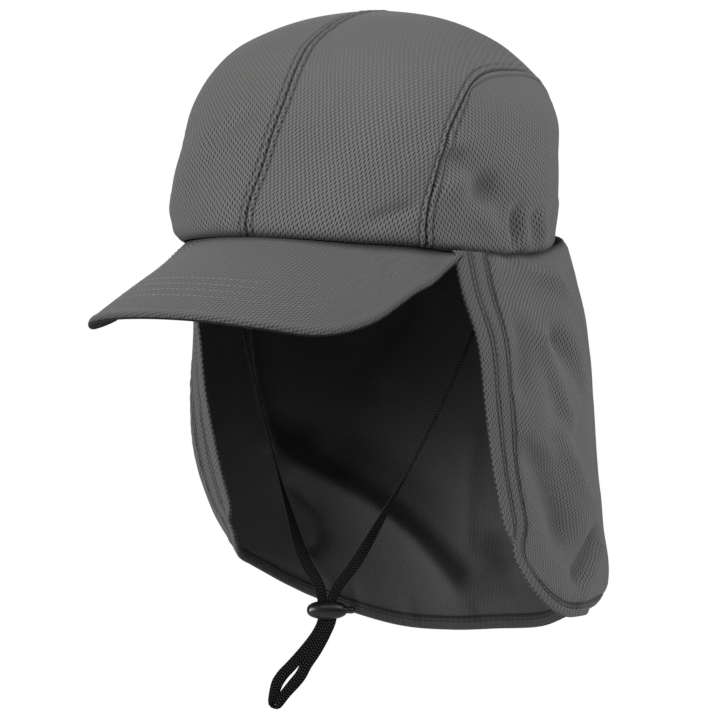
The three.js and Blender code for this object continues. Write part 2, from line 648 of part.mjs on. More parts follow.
function solidOf(geometry) {
  const plain = geometry.clone();
  for (const name of Object.keys(plain.attributes)) {
    if (name !== 'position') plain.deleteAttribute(name);
  }
  const merged = mergeVertices(plain, 1e-4);
  return new wasm.Manifold(new wasm.Mesh({
    numProp: 3,
    vertProperties: new Float32Array(merged.attributes.position.array),
    triVerts: new Uint32Array(merged.index.array),
  }));
}

function geometryOf(solid) {
  const mesh = solid.getMesh();
  const geometry = new THREE.BufferGeometry();
  geometry.setAttribute('position', new THREE.BufferAttribute(new Float32Array(mesh.vertProperties), 3));
  geometry.setIndex(new THREE.BufferAttribute(new Uint32Array(mesh.triVerts), 1));
  return geometry;
}

// A bar along X with a rounded section
function bar(from, to, high, deep, sides) {
  const section = new THREE.Shape();
  section.absellipse(0, 0, high / 2, deep / 2, 0, 2 * Math.PI, false, 0);
  const geometry = new THREE.ExtrudeGeometry(section, { depth: to - from, bevelEnabled: false, curveSegments: sides });
  return geometry.rotateY(Math.PI / 2).translate(from, 0, 0);
}

function block(from, to, high, deep) {
  return new THREE.BoxGeometry(to - from, deep, high).translate((from + to) / 2, 0, 0);
}

function cordLock() {
  const outline = [];
  const steps = 10;
  for (let i = 0; i <= steps; i++) {
    const turn = Math.PI * i / steps;
    const fullness = Math.sin(turn) ** 0.75;
    outline.push(new THREE.Vector2(i % steps ? BARREL.high / 2 * fullness : 0, -BARREL.long / 2 * Math.cos(turn)));
  }
  const barrel = new THREE.LatheGeometry(outline, 20).rotateZ(-Math.PI / 2).scale(1, BARREL.deep / BARREL.high, 1);
  const bore = bar(PLUNGER.tail - PRESS - GAP, BARREL.long, PLUNGER.high + 2 * GAP, PLUNGER.deep + 2 * GAP, 6);
  const slot = block(-SLOT.long / 2, SLOT.long / 2, 2 * BARREL.high, SLOT.deep);
  return geometryOf(solidOf(barrel).subtract(solidOf(bore)).subtract(solidOf(slot)));
}

function lockButton() {
  const stem = bar(PLUNGER.tail, PLUNGER.head - 1, PLUNGER.high, PLUNGER.deep, 6);
  const nose = bar(PLUNGER.tail, PLUNGER.head, PLUNGER.high - 1, PLUNGER.deep - 1.2, 6);
  const slot = block(-SLOT.long / 2, SLOT.long / 2 + PRESS, 2 * PLUNGER.high, SLOT.deep);
  return geometryOf(solidOf(stem).add(solidOf(nose)).subtract(solidOf(slot)));
}

function named(name, geometry, material) {
  const mesh = new THREE.Mesh(geometry, material);
  mesh.name = name;
  return mesh;
}

function knit(color) {
  return new THREE.MeshStandardMaterial({ color, roughness: 0.95, metalness: 0 });
}

function plastic(color) {
  return new THREE.MeshStandardMaterial({ color, roughness: 0.45, metalness: 0 });
}

const cap = new THREE.Group();
cap.add(named('top_panel_left', topPanel(LEFT), knit('#74726f')));
cap.add(named('top_panel_right', topPanel(RIGHT), knit('#7a7876')));
cap.add(named('side_panel_left', sidePanel(LEFT), knit('#6e6c6a')));
cap.add(named('side_panel_right', sidePanel(RIGHT), knit('#6e6c6a')));
cap.add(named('peak', peak(), knit('#74726f')));
cap.add(named('neck_flap', neckFlap(), knit('#6c6a68')));
const binding = flapStrip(0, FLAP_TOTAL, (outer) => outer, (outer) => outer + STRIP_WIDE);
cap.add(named('flap_binding', binding, knit('#686664')));
cap.add(named('edge_strip_left', edgeStrip(0, EDGE_STRIP_STEPS), knit('#686664')));
cap.add(named('edge_strip_right', edgeStrip(FLAP_TOTAL - EDGE_STRIP_STEPS, FLAP_TOTAL), knit('#686664')));
cap.add(named('chin_cord', chinCord(), knit('#1b1b1c')));
const lock = new THREE.Group();
lock.position.set(LOCK.x, LOCK.y, LOCK.z);
lock.rotation.z = LOCK.turn * DEGREE;
lock.add(named('cord_lock', cordLock(), plastic('#1d1d1f')));
lock.add(named('lock_button', lockButton(), plastic('#161617')));
cap.add(lock);

export default cap;
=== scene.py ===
# %% [markdown]
# # A cooling cap with a neck flap
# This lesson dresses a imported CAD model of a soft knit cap: four crown panels, a stitched peak,
# a neck flap with its bound edge, and a flat chin cord through a cord lock. The CAD model is the
# frame: it fixes where everything is. Each piece below is a finer copy of one CAD solid, made
# from nearly the same tables, with the seams, folds, stitches and knit that make it look like
# cloth. Sizes are in millimetres until a mesh is made.

# %% Load the frame
import math

import bpy
import numpy as np
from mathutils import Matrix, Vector


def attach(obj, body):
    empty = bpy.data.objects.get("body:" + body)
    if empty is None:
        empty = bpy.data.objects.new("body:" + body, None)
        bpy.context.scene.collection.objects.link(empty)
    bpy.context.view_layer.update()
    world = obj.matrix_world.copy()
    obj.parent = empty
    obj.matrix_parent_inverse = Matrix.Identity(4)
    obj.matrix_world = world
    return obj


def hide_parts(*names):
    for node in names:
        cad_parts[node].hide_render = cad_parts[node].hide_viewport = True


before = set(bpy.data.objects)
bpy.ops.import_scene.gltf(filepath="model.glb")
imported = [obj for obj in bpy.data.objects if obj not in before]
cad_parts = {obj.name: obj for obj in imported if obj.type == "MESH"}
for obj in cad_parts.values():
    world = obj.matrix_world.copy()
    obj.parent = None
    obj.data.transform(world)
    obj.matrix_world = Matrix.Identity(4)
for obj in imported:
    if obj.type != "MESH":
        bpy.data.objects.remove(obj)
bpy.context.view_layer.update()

MM = 0.001
UV_UNIT = 100
LEFT = 1
RIGHT = -1

# %% [markdown]
# ## Camera
# The photograph is a long-lens product shot, a little above the rim and 35 degrees round to the
# wearer's left. A long lens far away keeps the far side of the flap nearly as large as the near
# side. Two small shifts place the cap in the frame without tilting the camera.

# %% Camera
CAMERA = {"azimuth": 35, "elevation": 2.5, "distance": 2.0, "lens": 210, "sensor": 36,
          "shift": (-0.0083, -0.05)}
TARGET = Vector((0, 0, -0.040))


def toward(azimuth, elevation):
    turn, rise = math.radians(azimuth), math.radians(elevation)
    return Vector((math.sin(turn) * math.cos(rise), -math.cos(turn) * math.cos(rise), math.sin(rise)))


def add_object(name, data):
    made = bpy.data.objects.new(name, data)
    bpy.context.collection.objects.link(made)
    return made


def make_camera():
    data = bpy.data.cameras.new("camera")
    data.lens, data.sensor_width = CAMERA["lens"], CAMERA["sensor"]
    data.shift_x, data.shift_y = CAMERA["shift"]
    camera = add_object("camera", data)
    away = toward(CAMERA["azimuth"], CAMERA["elevation"])
    camera.location = TARGET + away * CAMERA["distance"]
    camera.rotation_euler = away.to_track_quat("Z", "Y").to_euler()
    bpy.context.scene.camera = camera
    print("camera at", [round(x, 3) for x in camera.location])


make_camera()

# %% [markdown]
# ## Tables and curves
# A soft form is easiest to steer from a few sections. A table holds one row for each section and
# one named column for each size; between the rows a smooth cubic fills in. NumPy works on whole
# grids of points at once, so a panel with ten thousand points takes a moment.


# %% Tables
def table(columns, *rows):
    return dict(zip(columns.split(), np.array(rows, float).T))


def smooth_step(low, high, value):
    t = np.clip((value - low) / (high - low), 0, 1)
    return t * t * (3 - 2 * t)


def close_to(distance, reach):
    """1 at a border, fading to 0 at reach from it."""
    return 1 - smooth_step(0, reach, distance)


def hump(value, at, wide):
    """1 at one place, fading away on both sides of it."""
    return np.exp(-(((value - at) / wide) ** 2))


def column_at(rows, column, at, over_top=False):
    """A column of a table at a row that need not be whole."""
    c = rows[column]
    after = 2 * c[-1] - c[-2]
    if over_top:
        after = c[-2] if column in ("up", "square") else -c[-2]
    c = np.concatenate([[2 * c[0] - c[1]], c, [after]])
    low = np.clip(np.floor(at), 0, len(c) - 4).astype(int)
    t = at - low
    p, q, r, s = (c[low + k] for k in range(4))
    m, n = (r - p) / 2, (s - q) / 2
    return q + t * (m + t * (3 * (r - q) - 2 * m - n + t * (2 * (q - r) + m + n)))


def fold_lift(folds, along, up):
    """How far the ridges and valleys of a table lift the cloth, in its flat layout."""
    lift = np.zeros_like(along)
    for a, b, c, d, wide, deep in zip(*folds.values()):
        run = np.array([c - a, d - b])
        length = np.hypot(*run)
        travelled = ((along - a) * run[0] + (up - b) * run[1]) / length
        aside = ((along - a) * run[1] - (up - b) * run[0]) / length
        ends = smooth_step(-wide, wide, travelled) * smooth_step(-wide, wide, length - travelled)
        lift = lift + deep * ends * hump(aside, 0, wide)
    return lift


# %% [markdown]
# ## The crown's surface
# The crown lies over a flat disc, with the top at its centre and the rim at its edge. `out` picks
# the section and `turn` the place round it. Ahead of the ears each section is a squarer curve
# than an ellipse, as a soft crown over a forehead is.

# %% Crown
CLOTH = 1.4
GAP = 0.3
EARS = 8
CROWN = table(
    "up side ahead behind square",
    (0, 82, 103, 81.5, 2.2),
    (15, 85.5, 100.5, 83.5, 2.3),
    (33, 85.7, 90.5, 88.5, 2.5),
    (49, 83.6, 83, 90.2, 2.7),
    (64, 80, 74, 84.8, 2.85),
    (78.5, 72.2, 65.7, 73.5, 2.85),
    (90, 61.3, 56, 60.2, 2.8),
    (98, 48.2, 42, 44.2, 2.6),
    (103.5, 33.5, 28.5, 29.2, 2.3),
    (106.5, 17.5, 14.5, 15, 2),
    (107.5, 0, 0, 0, 2),
)
SQUARE_BEHIND = 2.05
MERIDIAN = 165
RIM_RADIUS = 91
RIM_FADE = 5
# the rim's height round the head: its mean, its tilt to the front and its rise at both ends
RIM_WAVE = (-1.5, 2.5, 4)
# how far the rim sags: everywhere, less over the temple, and more before the ear
RIM_HANG = table("turn wide drop", (0, 500, 1.2), (52, 12, -1.1), (77, 9, 0.8))
HANG_FROM = 0.9
# turns in degrees from the front, distances out from the top as shares of the way to the rim
CROWN_FOLDS = table(
    "from_turn from_out to_turn to_out wide deep",
    (52, 0.72, 86, 0.97, 9, 2),
    (62, 0.76, 92, 0.95, 8, -1.8),
    (-10, 0.6, -50, 0.92, 11, 1.8),
    (-28, 0.62, -58, 0.8, 10, -1.5),
    (30, 0.82, 48, 0.9, 10, -1.5),
    (120, 0.7, 150, 0.93, 12, -2),
    (-70, 0.72, -100, 0.95, 10, 2),
    (-128, 0.68, -152, 0.94, 12, -2),
)

# creases, gathers and dimples too fine for the CAD model
CROWN_CREASES = table(
    "from_turn from_out to_turn to_out wide deep",
    (58, 0.81, 82, 0.975, 4.5, 3),
    (57, 0.75, 72, 0.86, 6, -3.2),
    (66, 0.83, 86, 0.96, 7, -4.2),
    (57, 0.74, 59, 0.77, 3.5, -1.6),
    (100, 0.55, 100, 0.85, 20, 2),
    (80, 0.88, 82, 0.975, 2.6, 2.0),
    (84, 0.88, 86, 0.975, 2.6, -1.8),
    (88, 0.89, 91, 0.975, 2.6, 2.0),
    (93, 0.89, 97, 0.975, 2.6, -1.6),
    (98, 0.89, 104, 0.975, 3, 1.8),
    (-9, 0.63, -23, 0.73, 4.5, -3),
    (-14, 0.69, -40, 0.87, 6, 1.6),
    (-26, 0.76, -48, 0.88, 5, -0.8),
    (-4, 0.86, -6, 0.97, 3, -0.7),
    (-9, 0.87, -12, 0.97, 3, 0.6),
    (38, 0.93, 50, 0.88, 4, -1.8),
    (30, 0.9, 33, 0.975, 3, 0.7),
    (125, 0.86, 129, 0.97, 3.5, 1.0),
    (132, 0.84, 138, 0.96, 4, -1.2),
    (150, 0.88, 153, 0.97, 3.5, 0.9),
    (-60, 0.78, -84, 0.96, 5, 1.4),
    (-66, 0.76, -90, 0.94, 6, -1.8),
    (-96, 0.89, -99, 0.975, 2.8, 1.0),
    (-106, 0.88, -110, 0.97, 3, -0.9),
    (-140, 0.86, -146, 0.97, 4, 1.2),
)


def rim_rise(turn):
    mean, tilt, ends = RIM_WAVE
    return mean + tilt * np.cos(turn) + ends * np.cos(2 * turn)


def super_reach(turn, power):
    """How far a superellipse of unit size reaches in each direction."""
    return (np.abs(np.sin(turn)) ** power + np.abs(np.cos(turn)) ** power) ** (-1 / power)


def crown_point(a, b):
    """Places on the crown for places a, b on the flat disc."""
    out, turn = np.hypot(a, b), np.arctan2(a, -b)
    at = (1 - out) * (len(CROWN["up"]) - 1)
    side, ahead, behind, square, up = (
        column_at(CROWN, name, at, True) for name in ("side", "ahead", "behind", "square", "up"))
    front = np.cos(turn) > 0
    reach = super_reach(turn, np.where(front, square, SQUARE_BEHIND))
    y = EARS - np.where(front, ahead, behind) * reach * np.cos(turn)
    aside = np.abs(np.degrees(turn))
    hang = sum(drop * hump(aside, place, wide) for place, wide, drop in zip(*RIM_HANG.values()))
    rim = rim_rise(turn) * out**RIM_FADE - hang * smooth_step(HANG_FROM, 1, out)
    return np.stack([side * reach * np.sin(turn), y, up + rim], -1)


def crown_flat(turn, out):
    return out * RIM_RADIUS * turn, -out * MERIDIAN


def crown_folds(rows):
    start = crown_flat(np.radians(rows["from_turn"]), rows["from_out"])
    stop = crown_flat(np.radians(rows["to_turn"]), rows["to_out"])
    return dict(a=start[0], b=start[1], c=stop[0], d=stop[1], wide=rows["wide"], deep=rows["deep"])


def crown_lift(a, b, tables=(crown_folds(CROWN_FOLDS), crown_folds(CROWN_CREASES))):
    place = crown_flat(np.arctan2(a, -b), np.hypot(a, b))
    return sum(fold_lift(rows, *place) for rows in tables)


# %% [markdown]
# ## The flap's surface
# The flap is laid out flat as a distance from the centre back and a height. At each height it
# follows a section open at the front. Walking that section in small steps gives its length, so
# that the knit keeps its scale when the flat cloth is wrapped round.

# %% Flap
FLAP = table(
    "up left right middle ahead behind edge_left edge_right curl",
    (4, 86, 86, 8, 104, 95, 41, 40, 14),
    (-20, 89, 88, 9, 102, 101.5, 37.5, 39, 20),
    (-45, 93.5, 91.5, 12, 102, 106.5, 32, 36.5, 33),
    (-75, 94.5, 97.5, 16, 100, 107.5, 27, 32.5, 49),
    (-105, 95, 101.5, 20, 96, 107.5, 21, 23.5, 67),
    (-135, 96.5, 101, 22, 92, 109.5, 15, 4, 70),
    (-165, 96.5, 97.5, 23, 90, 110, 12, -21, 45),
    (-205, 92, 96.5, 24, 88, 108, 10, -32, 20),
)
FLAP_FOLDS = table(
    "from_along from_up to_along to_up wide deep",
    (132, 0, 126, -80, 14, 3.5),
    (170, -70, 134, -140, 13, 3),
    (150, -45, 158, -150, 10, -2),
    (-128, -104, -78, -140, 17, -6),
    (-86, -132, -30, -188, 17, -7),
    (-86, -100, -14, -174, 16, 4),
    (-150, -30, -136, -105, 13, -3.5),
    (-20, -95, -30, -160, 14, -3),
    (-36, -25, -74, -80, 12, 3),
    (60, -60, 48, -190, 22, 4),
    (12, -70, 8, -195, 16, 3),
    (60, -186, 128, -184, 10, -8),
    (-52, 4, 52, 4, 15, -8),
)
# sharp ridges and creases too narrow for the CAD model; a negative depth bulges inward
FLAP_CREASES = table(
    "from_along from_up to_along to_up wide deep",
    (-143, -22, -126, -106, 5.5, -4.5),
    (-133, -22, -114, -104, 5, 3.5),
    (-116, -92, -94, -102, 8, 5),
    (-120, -112, -77, -137, 6.5, -4.5),
    (-77, -137, -38, -181, 6.5, -5),
    (-110, -100, -71, -129, 5.5, 3.6),
    (-71, -129, -30, -173, 5.5, 4.2),
    (-119, -124, -106, -138, 5, 4),
    (-106, -138, -113, -154, 5, 4.2),
    (-113, -154, -126, -160, 4.5, 3.2),
    (-17, -98, -33, -158, 4.5, -2.6),
    (-38, -181, 2, -169, 6, -3),
    (-18, -150, -4, -178, 8, 4),
    (-30, -26, -60, -76, 4.5, -1.8),
    (-122, -172, -118, -184, 3.5, -1.4),
    (-106, -176, -103, -190, 3.5, 1.2),
    (-72, -184, -70, -196, 3.5, -1.3),
    (-30, -186, -24, -194, 4, 1.4),
    (157, -1, 134, -11, 6, 3.2),
    (134, -11, 117, -28, 6, 3.2),
    (117, -28, 111, -48, 6.5, 2.6),
    (168, -34, 173, -74, 7, -2.4),
    (155, -40, 148, -66, 5.5, 3),
    (148, -66, 140, -88, 5.5, 3),
    (147, -40, 134, -60, 6, -3.6),
    (134, -60, 124, -76, 6, -3.2),
    (153, -86, 138, -113, 6.5, 3),
    (138, -113, 126, -134, 6.5, 2.8),
    (176, -86, 160, -102, 5.5, 2),
    (171, -92, 160, -140, 9, -3.2),
    (113, -145, 148, -170, 5, 2.6),
    (120, -138, 150, -160, 7, -5.5),
    (95, -150, 95, -172, 12, 1.8),
    (72, -40, 76, -120, 7, -1.8),
    (92, 0, 92, -38, 16, 2.2),
    (92, -75, 92, -135, 20, -1.6),
    (30, -30, 22, -140, 8, 2),
    (-10, -20, 0, -90, 7, -1.8),
)
FLAP_HALF = 195
FLAP_CORNER = 45
# the flap's upper edge: its height at the front and back, and the stretch where it climbs
FLAP_TOP = {"front": -0.3, "back": 4, "from": 142, "to": 92}
FLAP_FOOT = -172.5
# down to this height the flap still follows the rise and fall of the rim
RIM_FELT = -60
# how much lower the hem hangs, at even steps along the cut edge from its right end
HEM = {"step": 30, "drop": np.array([0, -1.6, 9.3, 19.6, 26.4, 27.9, 26.5, 23.5, 12.5, 6, 5, 5, 3.5, 0])}
STRIP_WIDE = 6.5
STRIP_STEP = STRIP_WIDE + GAP
# both strips are wider at the rim, and the outer one ends in a taper as the corner begins
STRIP_FLARE = {"more": 0.42, "over": 125}
KINK = (128, 147)
KINK_TAPER = 0.65
CURL = {"wide": 21, "bend": 8}
WALK = np.radians(np.arange(0, 180, 0.5))
ROWS = np.linspace(0, len(FLAP["up"]) - 1, 1500)
LEVELS = range(-212, 12)


def make_level(up):
    """One section of the flap: its outline on both sides, walked from the centre back."""
    at = np.interp(-up, -column_at(FLAP, "up", ROWS), ROWS)
    level = {name: float(column_at(FLAP, name, at)) for name in FLAP}
    turn = math.pi - WALK
    reach = super_reach(turn, 2)
    along = np.where(np.cos(turn) > 0, level["ahead"], level["behind"])
    y = level["middle"] - along * reach * np.cos(turn)
    level["turn"] = turn
    for hand, side, edge in ((LEFT, "left", "edge_left"), (RIGHT, "right", "edge_right")):
        x = level[side] * reach * np.sin(turn)
        walked = np.concatenate([[0], np.cumsum(np.hypot(np.diff(x), np.diff(y)))])
        length = np.interp(level[edge], -y, walked)
        level[hand] = (x, y, walked, length)
    return level


levels = {up: make_level(up) for up in LEVELS}


def flap_on_level(level, along):
    """Places on one level. The right front margin bends inward, and then lies flat."""
    point = np.zeros(along.shape + (3,))
    for hand in (LEFT, RIGHT):
        these = (along >= 0) == (hand == LEFT)
        x, y, walked, length = level[hand]
        away = np.abs(along[these])
        straight = away if hand == LEFT else np.minimum(away, FLAP_HALF - CURL["wide"])
        goal, before = straight / FLAP_HALF * length, (straight - 1) / FLAP_HALF * length
        here = np.stack([np.interp(goal, walked, hand * x), np.interp(goal, walked, y)], -1)
        last = np.stack([np.interp(before, walked, hand * x), np.interp(before, walked, y)], -1)
        heading = (here - last) / np.maximum(np.linalg.norm(here - last, axis=-1, keepdims=True), 1e-9)
        turned = math.radians(level["curl"])
        past = (away - straight)[:, None]
        bent, flat = np.clip(past / CURL["bend"], 0, 1) * turned, np.clip(past - CURL["bend"], 0, None)
        radius = CURL["bend"] / turned
        inward = np.stack([-heading[:, 1], heading[:, 0]], -1)
        here = here + heading * (radius * np.sin(bent) + flat * math.cos(turned))
        point[these, :2] = here + inward * (radius * (1 - np.cos(bent)) + flat * math.sin(turned))
        point[these, 2] = rim_rise(np.interp(goal, walked, level["turn"]))
    return point


def flap_point(along, up):
    """Places on the flap for places on its flat layout."""
    along, up = np.broadcast_arrays(np.asarray(along, float), np.asarray(up, float))
    low = np.floor(up).astype(int)
    share = (up - low)[..., None]
    point = np.zeros(along.shape + (3,))
    for level in np.unique(low):
        here = low == level
        below, above = (flap_on_level(levels[int(level) + k], along[here]) for k in (0, 1))
        point[here] = below * (1 - share[here]) + above * share[here]
    point[..., 2] = up + point[..., 2] * smooth_step(RIM_FELT, 0, up)
    return point


def flap_lift(along, up):
    return fold_lift(FLAP_FOLDS, along, up) + fold_lift(FLAP_CREASES, along, up)


def hem_up(along):
    return FLAP_FOOT - column_at(HEM, "drop", (along + FLAP_HALF) / HEM["step"])


def flap_top(along):
    lap = smooth_step(FLAP_TOP["from"], FLAP_TOP["to"], np.abs(along))
    return np.stack([along, FLAP_TOP["front"] + (FLAP_TOP["back"] - FLAP_TOP["front"]) * lap], -1)


def flap_outline(t, inset_of):
    """The flap's flat outline: down one front edge, round the hem and up the other."""
    t = np.asarray(t, float)
    straight = FLAP_TOP["front"] - FLAP_FOOT - FLAP_CORNER
    quarter, run = FLAP_CORNER * math.pi / 2, FLAP_HALF - FLAP_CORNER
    side = np.where(t < 0.5, LEFT, RIGHT)
    walked = (1 - np.abs(2 * t - 1)) * (straight + quarter + run)
    flare = 1 + STRIP_FLARE["more"] * (1 - smooth_step(0, STRIP_FLARE["over"], walked))
    inset = flare * inset_of(STRIP_STEP * (1 - smooth_step(*KINK, walked)))
    corner = FLAP_CORNER - inset
    turn = np.clip((walked - straight) / FLAP_CORNER, 0, math.pi / 2)
    rounded = hem_up(side * (run + FLAP_CORNER * np.cos(turn))) + FLAP_CORNER - corner * np.sin(turn)
    upright = FLAP_TOP["front"] - walked
    hem = side * np.clip(straight + quarter + run - walked, None, run)
    along = np.where(walked <= straight, side * (FLAP_HALF - inset), side * (run + corner * np.cos(turn)))
    up = np.where(walked <= straight, upright, rounded)
    on_hem = walked > straight + quarter
    return np.stack([np.where(on_hem, hem, along), np.where(on_hem, hem_up(hem) + inset, up)], -1)


print("flap levels", len(levels))

# %% [markdown]
# ## Walls of cloth
# Every cloth piece is a patch between four border curves on its flat layout, lifted into space
# and given two faces. The rows and columns are packed closely near the borders, where seams and
# stitching need them. The same grid gives the piece its own UV maps in real size, so that the
# knit neither stretches nor slides.


# %% Patches
FINE = 140


def coons_patch(bottom, top, left, right):
    """A flat patch between four border curves."""
    def patch(u, v):
        u1, v1 = u[..., None], v[..., None]
        zero, one = np.zeros_like(u), np.ones_like(u)
        return ((1 - v1) * bottom(u) + v1 * top(u) + (1 - u1) * left(v) + u1 * right(v)
                - (1 - u1) * (1 - v1) * bottom(zero) - u1 * (1 - v1) * bottom(one)
                - (1 - u1) * v1 * top(zero) - u1 * v1 * top(one))
    return patch


def lengths(points, axis):
    """How far each point of a grid is along its row or column."""
    steps = np.linalg.norm(np.diff(points, axis=axis), axis=-1)
    return np.concatenate([np.zeros_like(np.take(steps, [0], axis)), np.cumsum(steps, axis)], axis)


def stations(total, near_low, near_high, step):
    """Places along a length: close together near its ends, then evenly spaced."""
    low, high = np.array(near_low), total - np.array(near_high)[::-1]
    count = max(2, round((high[0] - low[-1]) / step))
    return np.concatenate([low[:-1], np.linspace(low[-1], high[0], count + 1), high[1:]])


def fit_grid(place, near, step):
    """Grid parameters u, v whose columns and rows lie at the wanted distances in space."""
    fine = np.linspace(0, 1, FINE + 1)
    u, v = np.meshgrid(fine, fine)
    up = lengths(place(u, v), 0)
    rows = stations(up[-1].mean(), near["bottom"], near["top"], step)
    across = lengths(place(u, v), 1)
    columns = stations(across[:, -1].mean(), near["left"], near["right"], step)
    v = np.zeros((len(rows), len(columns)))
    u = np.zeros_like(v)
    share = np.linspace(0, 1, len(columns))
    for i in range(len(columns)):
        walked = up[:, round(share[i] * FINE)]
        v[:, i] = np.interp(squeeze(rows, walked[-1], near["bottom"], near["top"]), walked, fine)
    for j in range(len(rows)):
        walked = across[round(v[j].mean() * FINE)]
        u[j] = np.interp(squeeze(columns, walked[-1], near["left"], near["right"]), walked, fine)
    return u, v


def squeeze(places, total, near_low, near_high):
    """The same places on a longer or shorter line, with the ones near its ends left alone."""
    low, high = near_low[-1], places[-1] - near_high[-1]
    inner = low + (places - low) / (high - low) * (total - near_high[-1] - low)
    return np.where(places <= low, places, np.where(places >= high, places - places[-1] + total, inner))


# %% Walls
# painted shade: how much darker the bottom of a fold is painted, and the fold depths between which the
# painted shade comes
FOLD_SHADE = {"most": 0.4, "from": 0.5, "to": 5}


def normals_of(surface, ab):
    point_at, step = surface["point"], surface["step"]
    a, b = ab[..., 0], ab[..., 1]
    across = point_at(a + step, b) - point_at(a - step, b)
    along = point_at(a, b + step) - point_at(a, b - step)
    n = np.cross(across, along) * surface["outward"]
    return n / np.linalg.norm(n, axis=-1, keepdims=True)


def rough_piece(name, vertices, faces, edges=()):
    """A mesh object at the origin, with its vertices as given."""
    mesh = bpy.data.meshes.new(name)
    mesh.from_pydata(np.asarray(vertices, float).tolist(), list(edges), faces)
    return add_object(name, mesh)


def make_piece(name, vertices, faces, uvs=(), values=()):
    """A smooth piece in metres, from millimetre vertices, with its UV maps and attributes."""
    piece = rough_piece(name, np.asarray(vertices) * MM, faces)
    mesh = piece.data
    corner = np.zeros(len(mesh.loops), np.int32)
    mesh.loops.foreach_get("vertex_index", corner)
    for layer, uv in uvs:
        mesh.uv_layers.new(name=layer).data.foreach_set("uv", np.asarray(uv, np.float32)[corner].ravel())
    for layer, value in values:
        attribute = mesh.attributes.new(layer, "FLOAT", "POINT")
        attribute.data.foreach_set("value", np.asarray(value, np.float32).ravel())
    mesh.polygons.foreach_set("use_smooth", np.ones(len(mesh.polygons), bool))
    mesh.update()
    return piece


def wall_faces(rows, columns):
    """Quads of a closed wall: an outer grid of vertices, then an inner one, joined at the rim."""
    ids = np.arange(rows * columns).reshape(rows, columns)
    outer = np.stack([ids[:-1, :-1], ids[:-1, 1:], ids[1:, 1:], ids[1:, :-1]], -1).reshape(-1, 4)
    ring = np.concatenate([ids[0, :-1], ids[:-1, -1], ids[-1, :0:-1], ids[:0:-1, 0]])
    after = np.roll(ring, -1)
    rim = np.stack([after, ring, ring + rows * columns, after + rows * columns], -1)
    return np.concatenate([outer, outer[:, ::-1] + rows * columns, rim])


def turned_out(vertices, faces):
    """The faces, turned so that they face out of the closed body."""
    p = [vertices[faces[:, k]] for k in range(4)]
    volume = sum(np.einsum("ij,ij->i", p[0], np.cross(p[k], p[k + 1])).sum() for k in (1, 2))
    return faces if volume > 0 else faces[:, ::-1]


def cloth_form(surface, place, u, v, relief, thick, proud):
    """The outer and inner faces of a wall of cloth. place(u, v) is on the flat layout, and
    relief(form) lifts the cloth by its distances, in millimetres, from the patch's borders."""
    ab = place(u, v)
    base = surface["point"](ab[..., 0], ab[..., 1])
    across, along = lengths(base, 1), lengths(base, 0)
    form = {"left": across, "right": across[:, -1:] - across, "bottom": along, "top": along[-1:] - along,
            "run": along, "across": across, "ab": ab, "normal": normals_of(surface, ab)}
    form["fold"] = surface["lift"](ab[..., 0], ab[..., 1])
    lift = proud + form["fold"] + relief(form)
    form["centre"] = across[:, -1:] / 2
    form["outer"] = base + form["normal"] * lift[..., None]
    wall = thick(form)[..., None] if callable(thick) else thick
    form["inner"] = form["outer"] - form["normal"] * wall
    return form


def cloth_piece(name, form):
    vertices = np.concatenate([form["outer"].reshape(-1, 3), form["inner"].reshape(-1, 3)])
    faces = turned_out(vertices, wall_faces(*form["across"].shape))
    cut = np.stack([form["across"] - form["centre"], form["run"]], -1).reshape(-1, 2) / UV_UNIT
    # painted shade: the knit is painted darker at the bottom of a fold, seen from either face, on top of
    # the painted shade at seams and edges
    depth = np.stack([-form["fold"], form["fold"]])
    hollow = smooth_step(FOLD_SHADE["from"], FOLD_SHADE["to"], depth)
    crease = np.clip(form["crease"] + FOLD_SHADE["most"] * hollow, 0, 1)
    piece = make_piece(name, vertices, faces.tolist(), [("cut", np.tile(cut, (2, 1)))],
                       [("inside", np.repeat([0, 1], form["across"].size)), ("crease", crease)])
    print(name, len(faces), "faces")
    return piece


# %% [markdown]
# ## Crown panels
# The crown is sewn from two top panels, which meet in a seam from the brow to the nape, and two
# D-shaped side panels. At a seam both edges turn in, and a row of topstitching each side presses
# a groove. Modelling that as relief on the wall makes the seams catch the light from any side.

# %% Crown panels
# the arched seam in degrees from the front, with the height and the squareness of its arch
SIDE_SEAM = {"middle": 97, "half_span": 44.2, "top": 0.51, "square_ahead": 3.3, "square_behind": 2.45,
             "foot": 3}
FOOT_FADE = 8
MM_PER_DEGREE = 1.6
SEAM_HALF = 0.05
UPRIGHT = 10 / 34
SEAM_LEAN = {"far": 0.01, "fullness": 1.4}
STITCH_ROW = 3.4
# relief beside a seam, in millimetres
TURNED_IN = {"deep": 1.4, "wide": 0.55}
PADDED = {"high": 0.45, "from": 0.3, "to": 1.2, "short": 0.8, "fade": 1.6}
GROOVE = {"deep": 0.95, "wide": 0.65}
RIM_ROLL = {"deep": 2.8, "over": 5, "bulge": 0.5, "at": 6, "wide": 2.5}
PUCKER = {"high": 0.12, "fine": 0.9, "sway": 1.7, "slow": 0.13, "share": 0.6, "coarse": 0.51, "late": 2,
          "reach": 3.5}
# painted shade: how dark a seam is painted, the row of stitching beside it, the row beside the centre seam,
# and how far from the rim the painted shade reaches
SEAM_SHADE = {"seam": 0.72, "wide": 0.5, "row": 0.35, "centre_row": 0.55, "row_wide": 0.6, "rim": 3.4}


def on_disc(turn, out):
    return np.stack([out * np.sin(turn), -out * np.cos(turn)], -1)


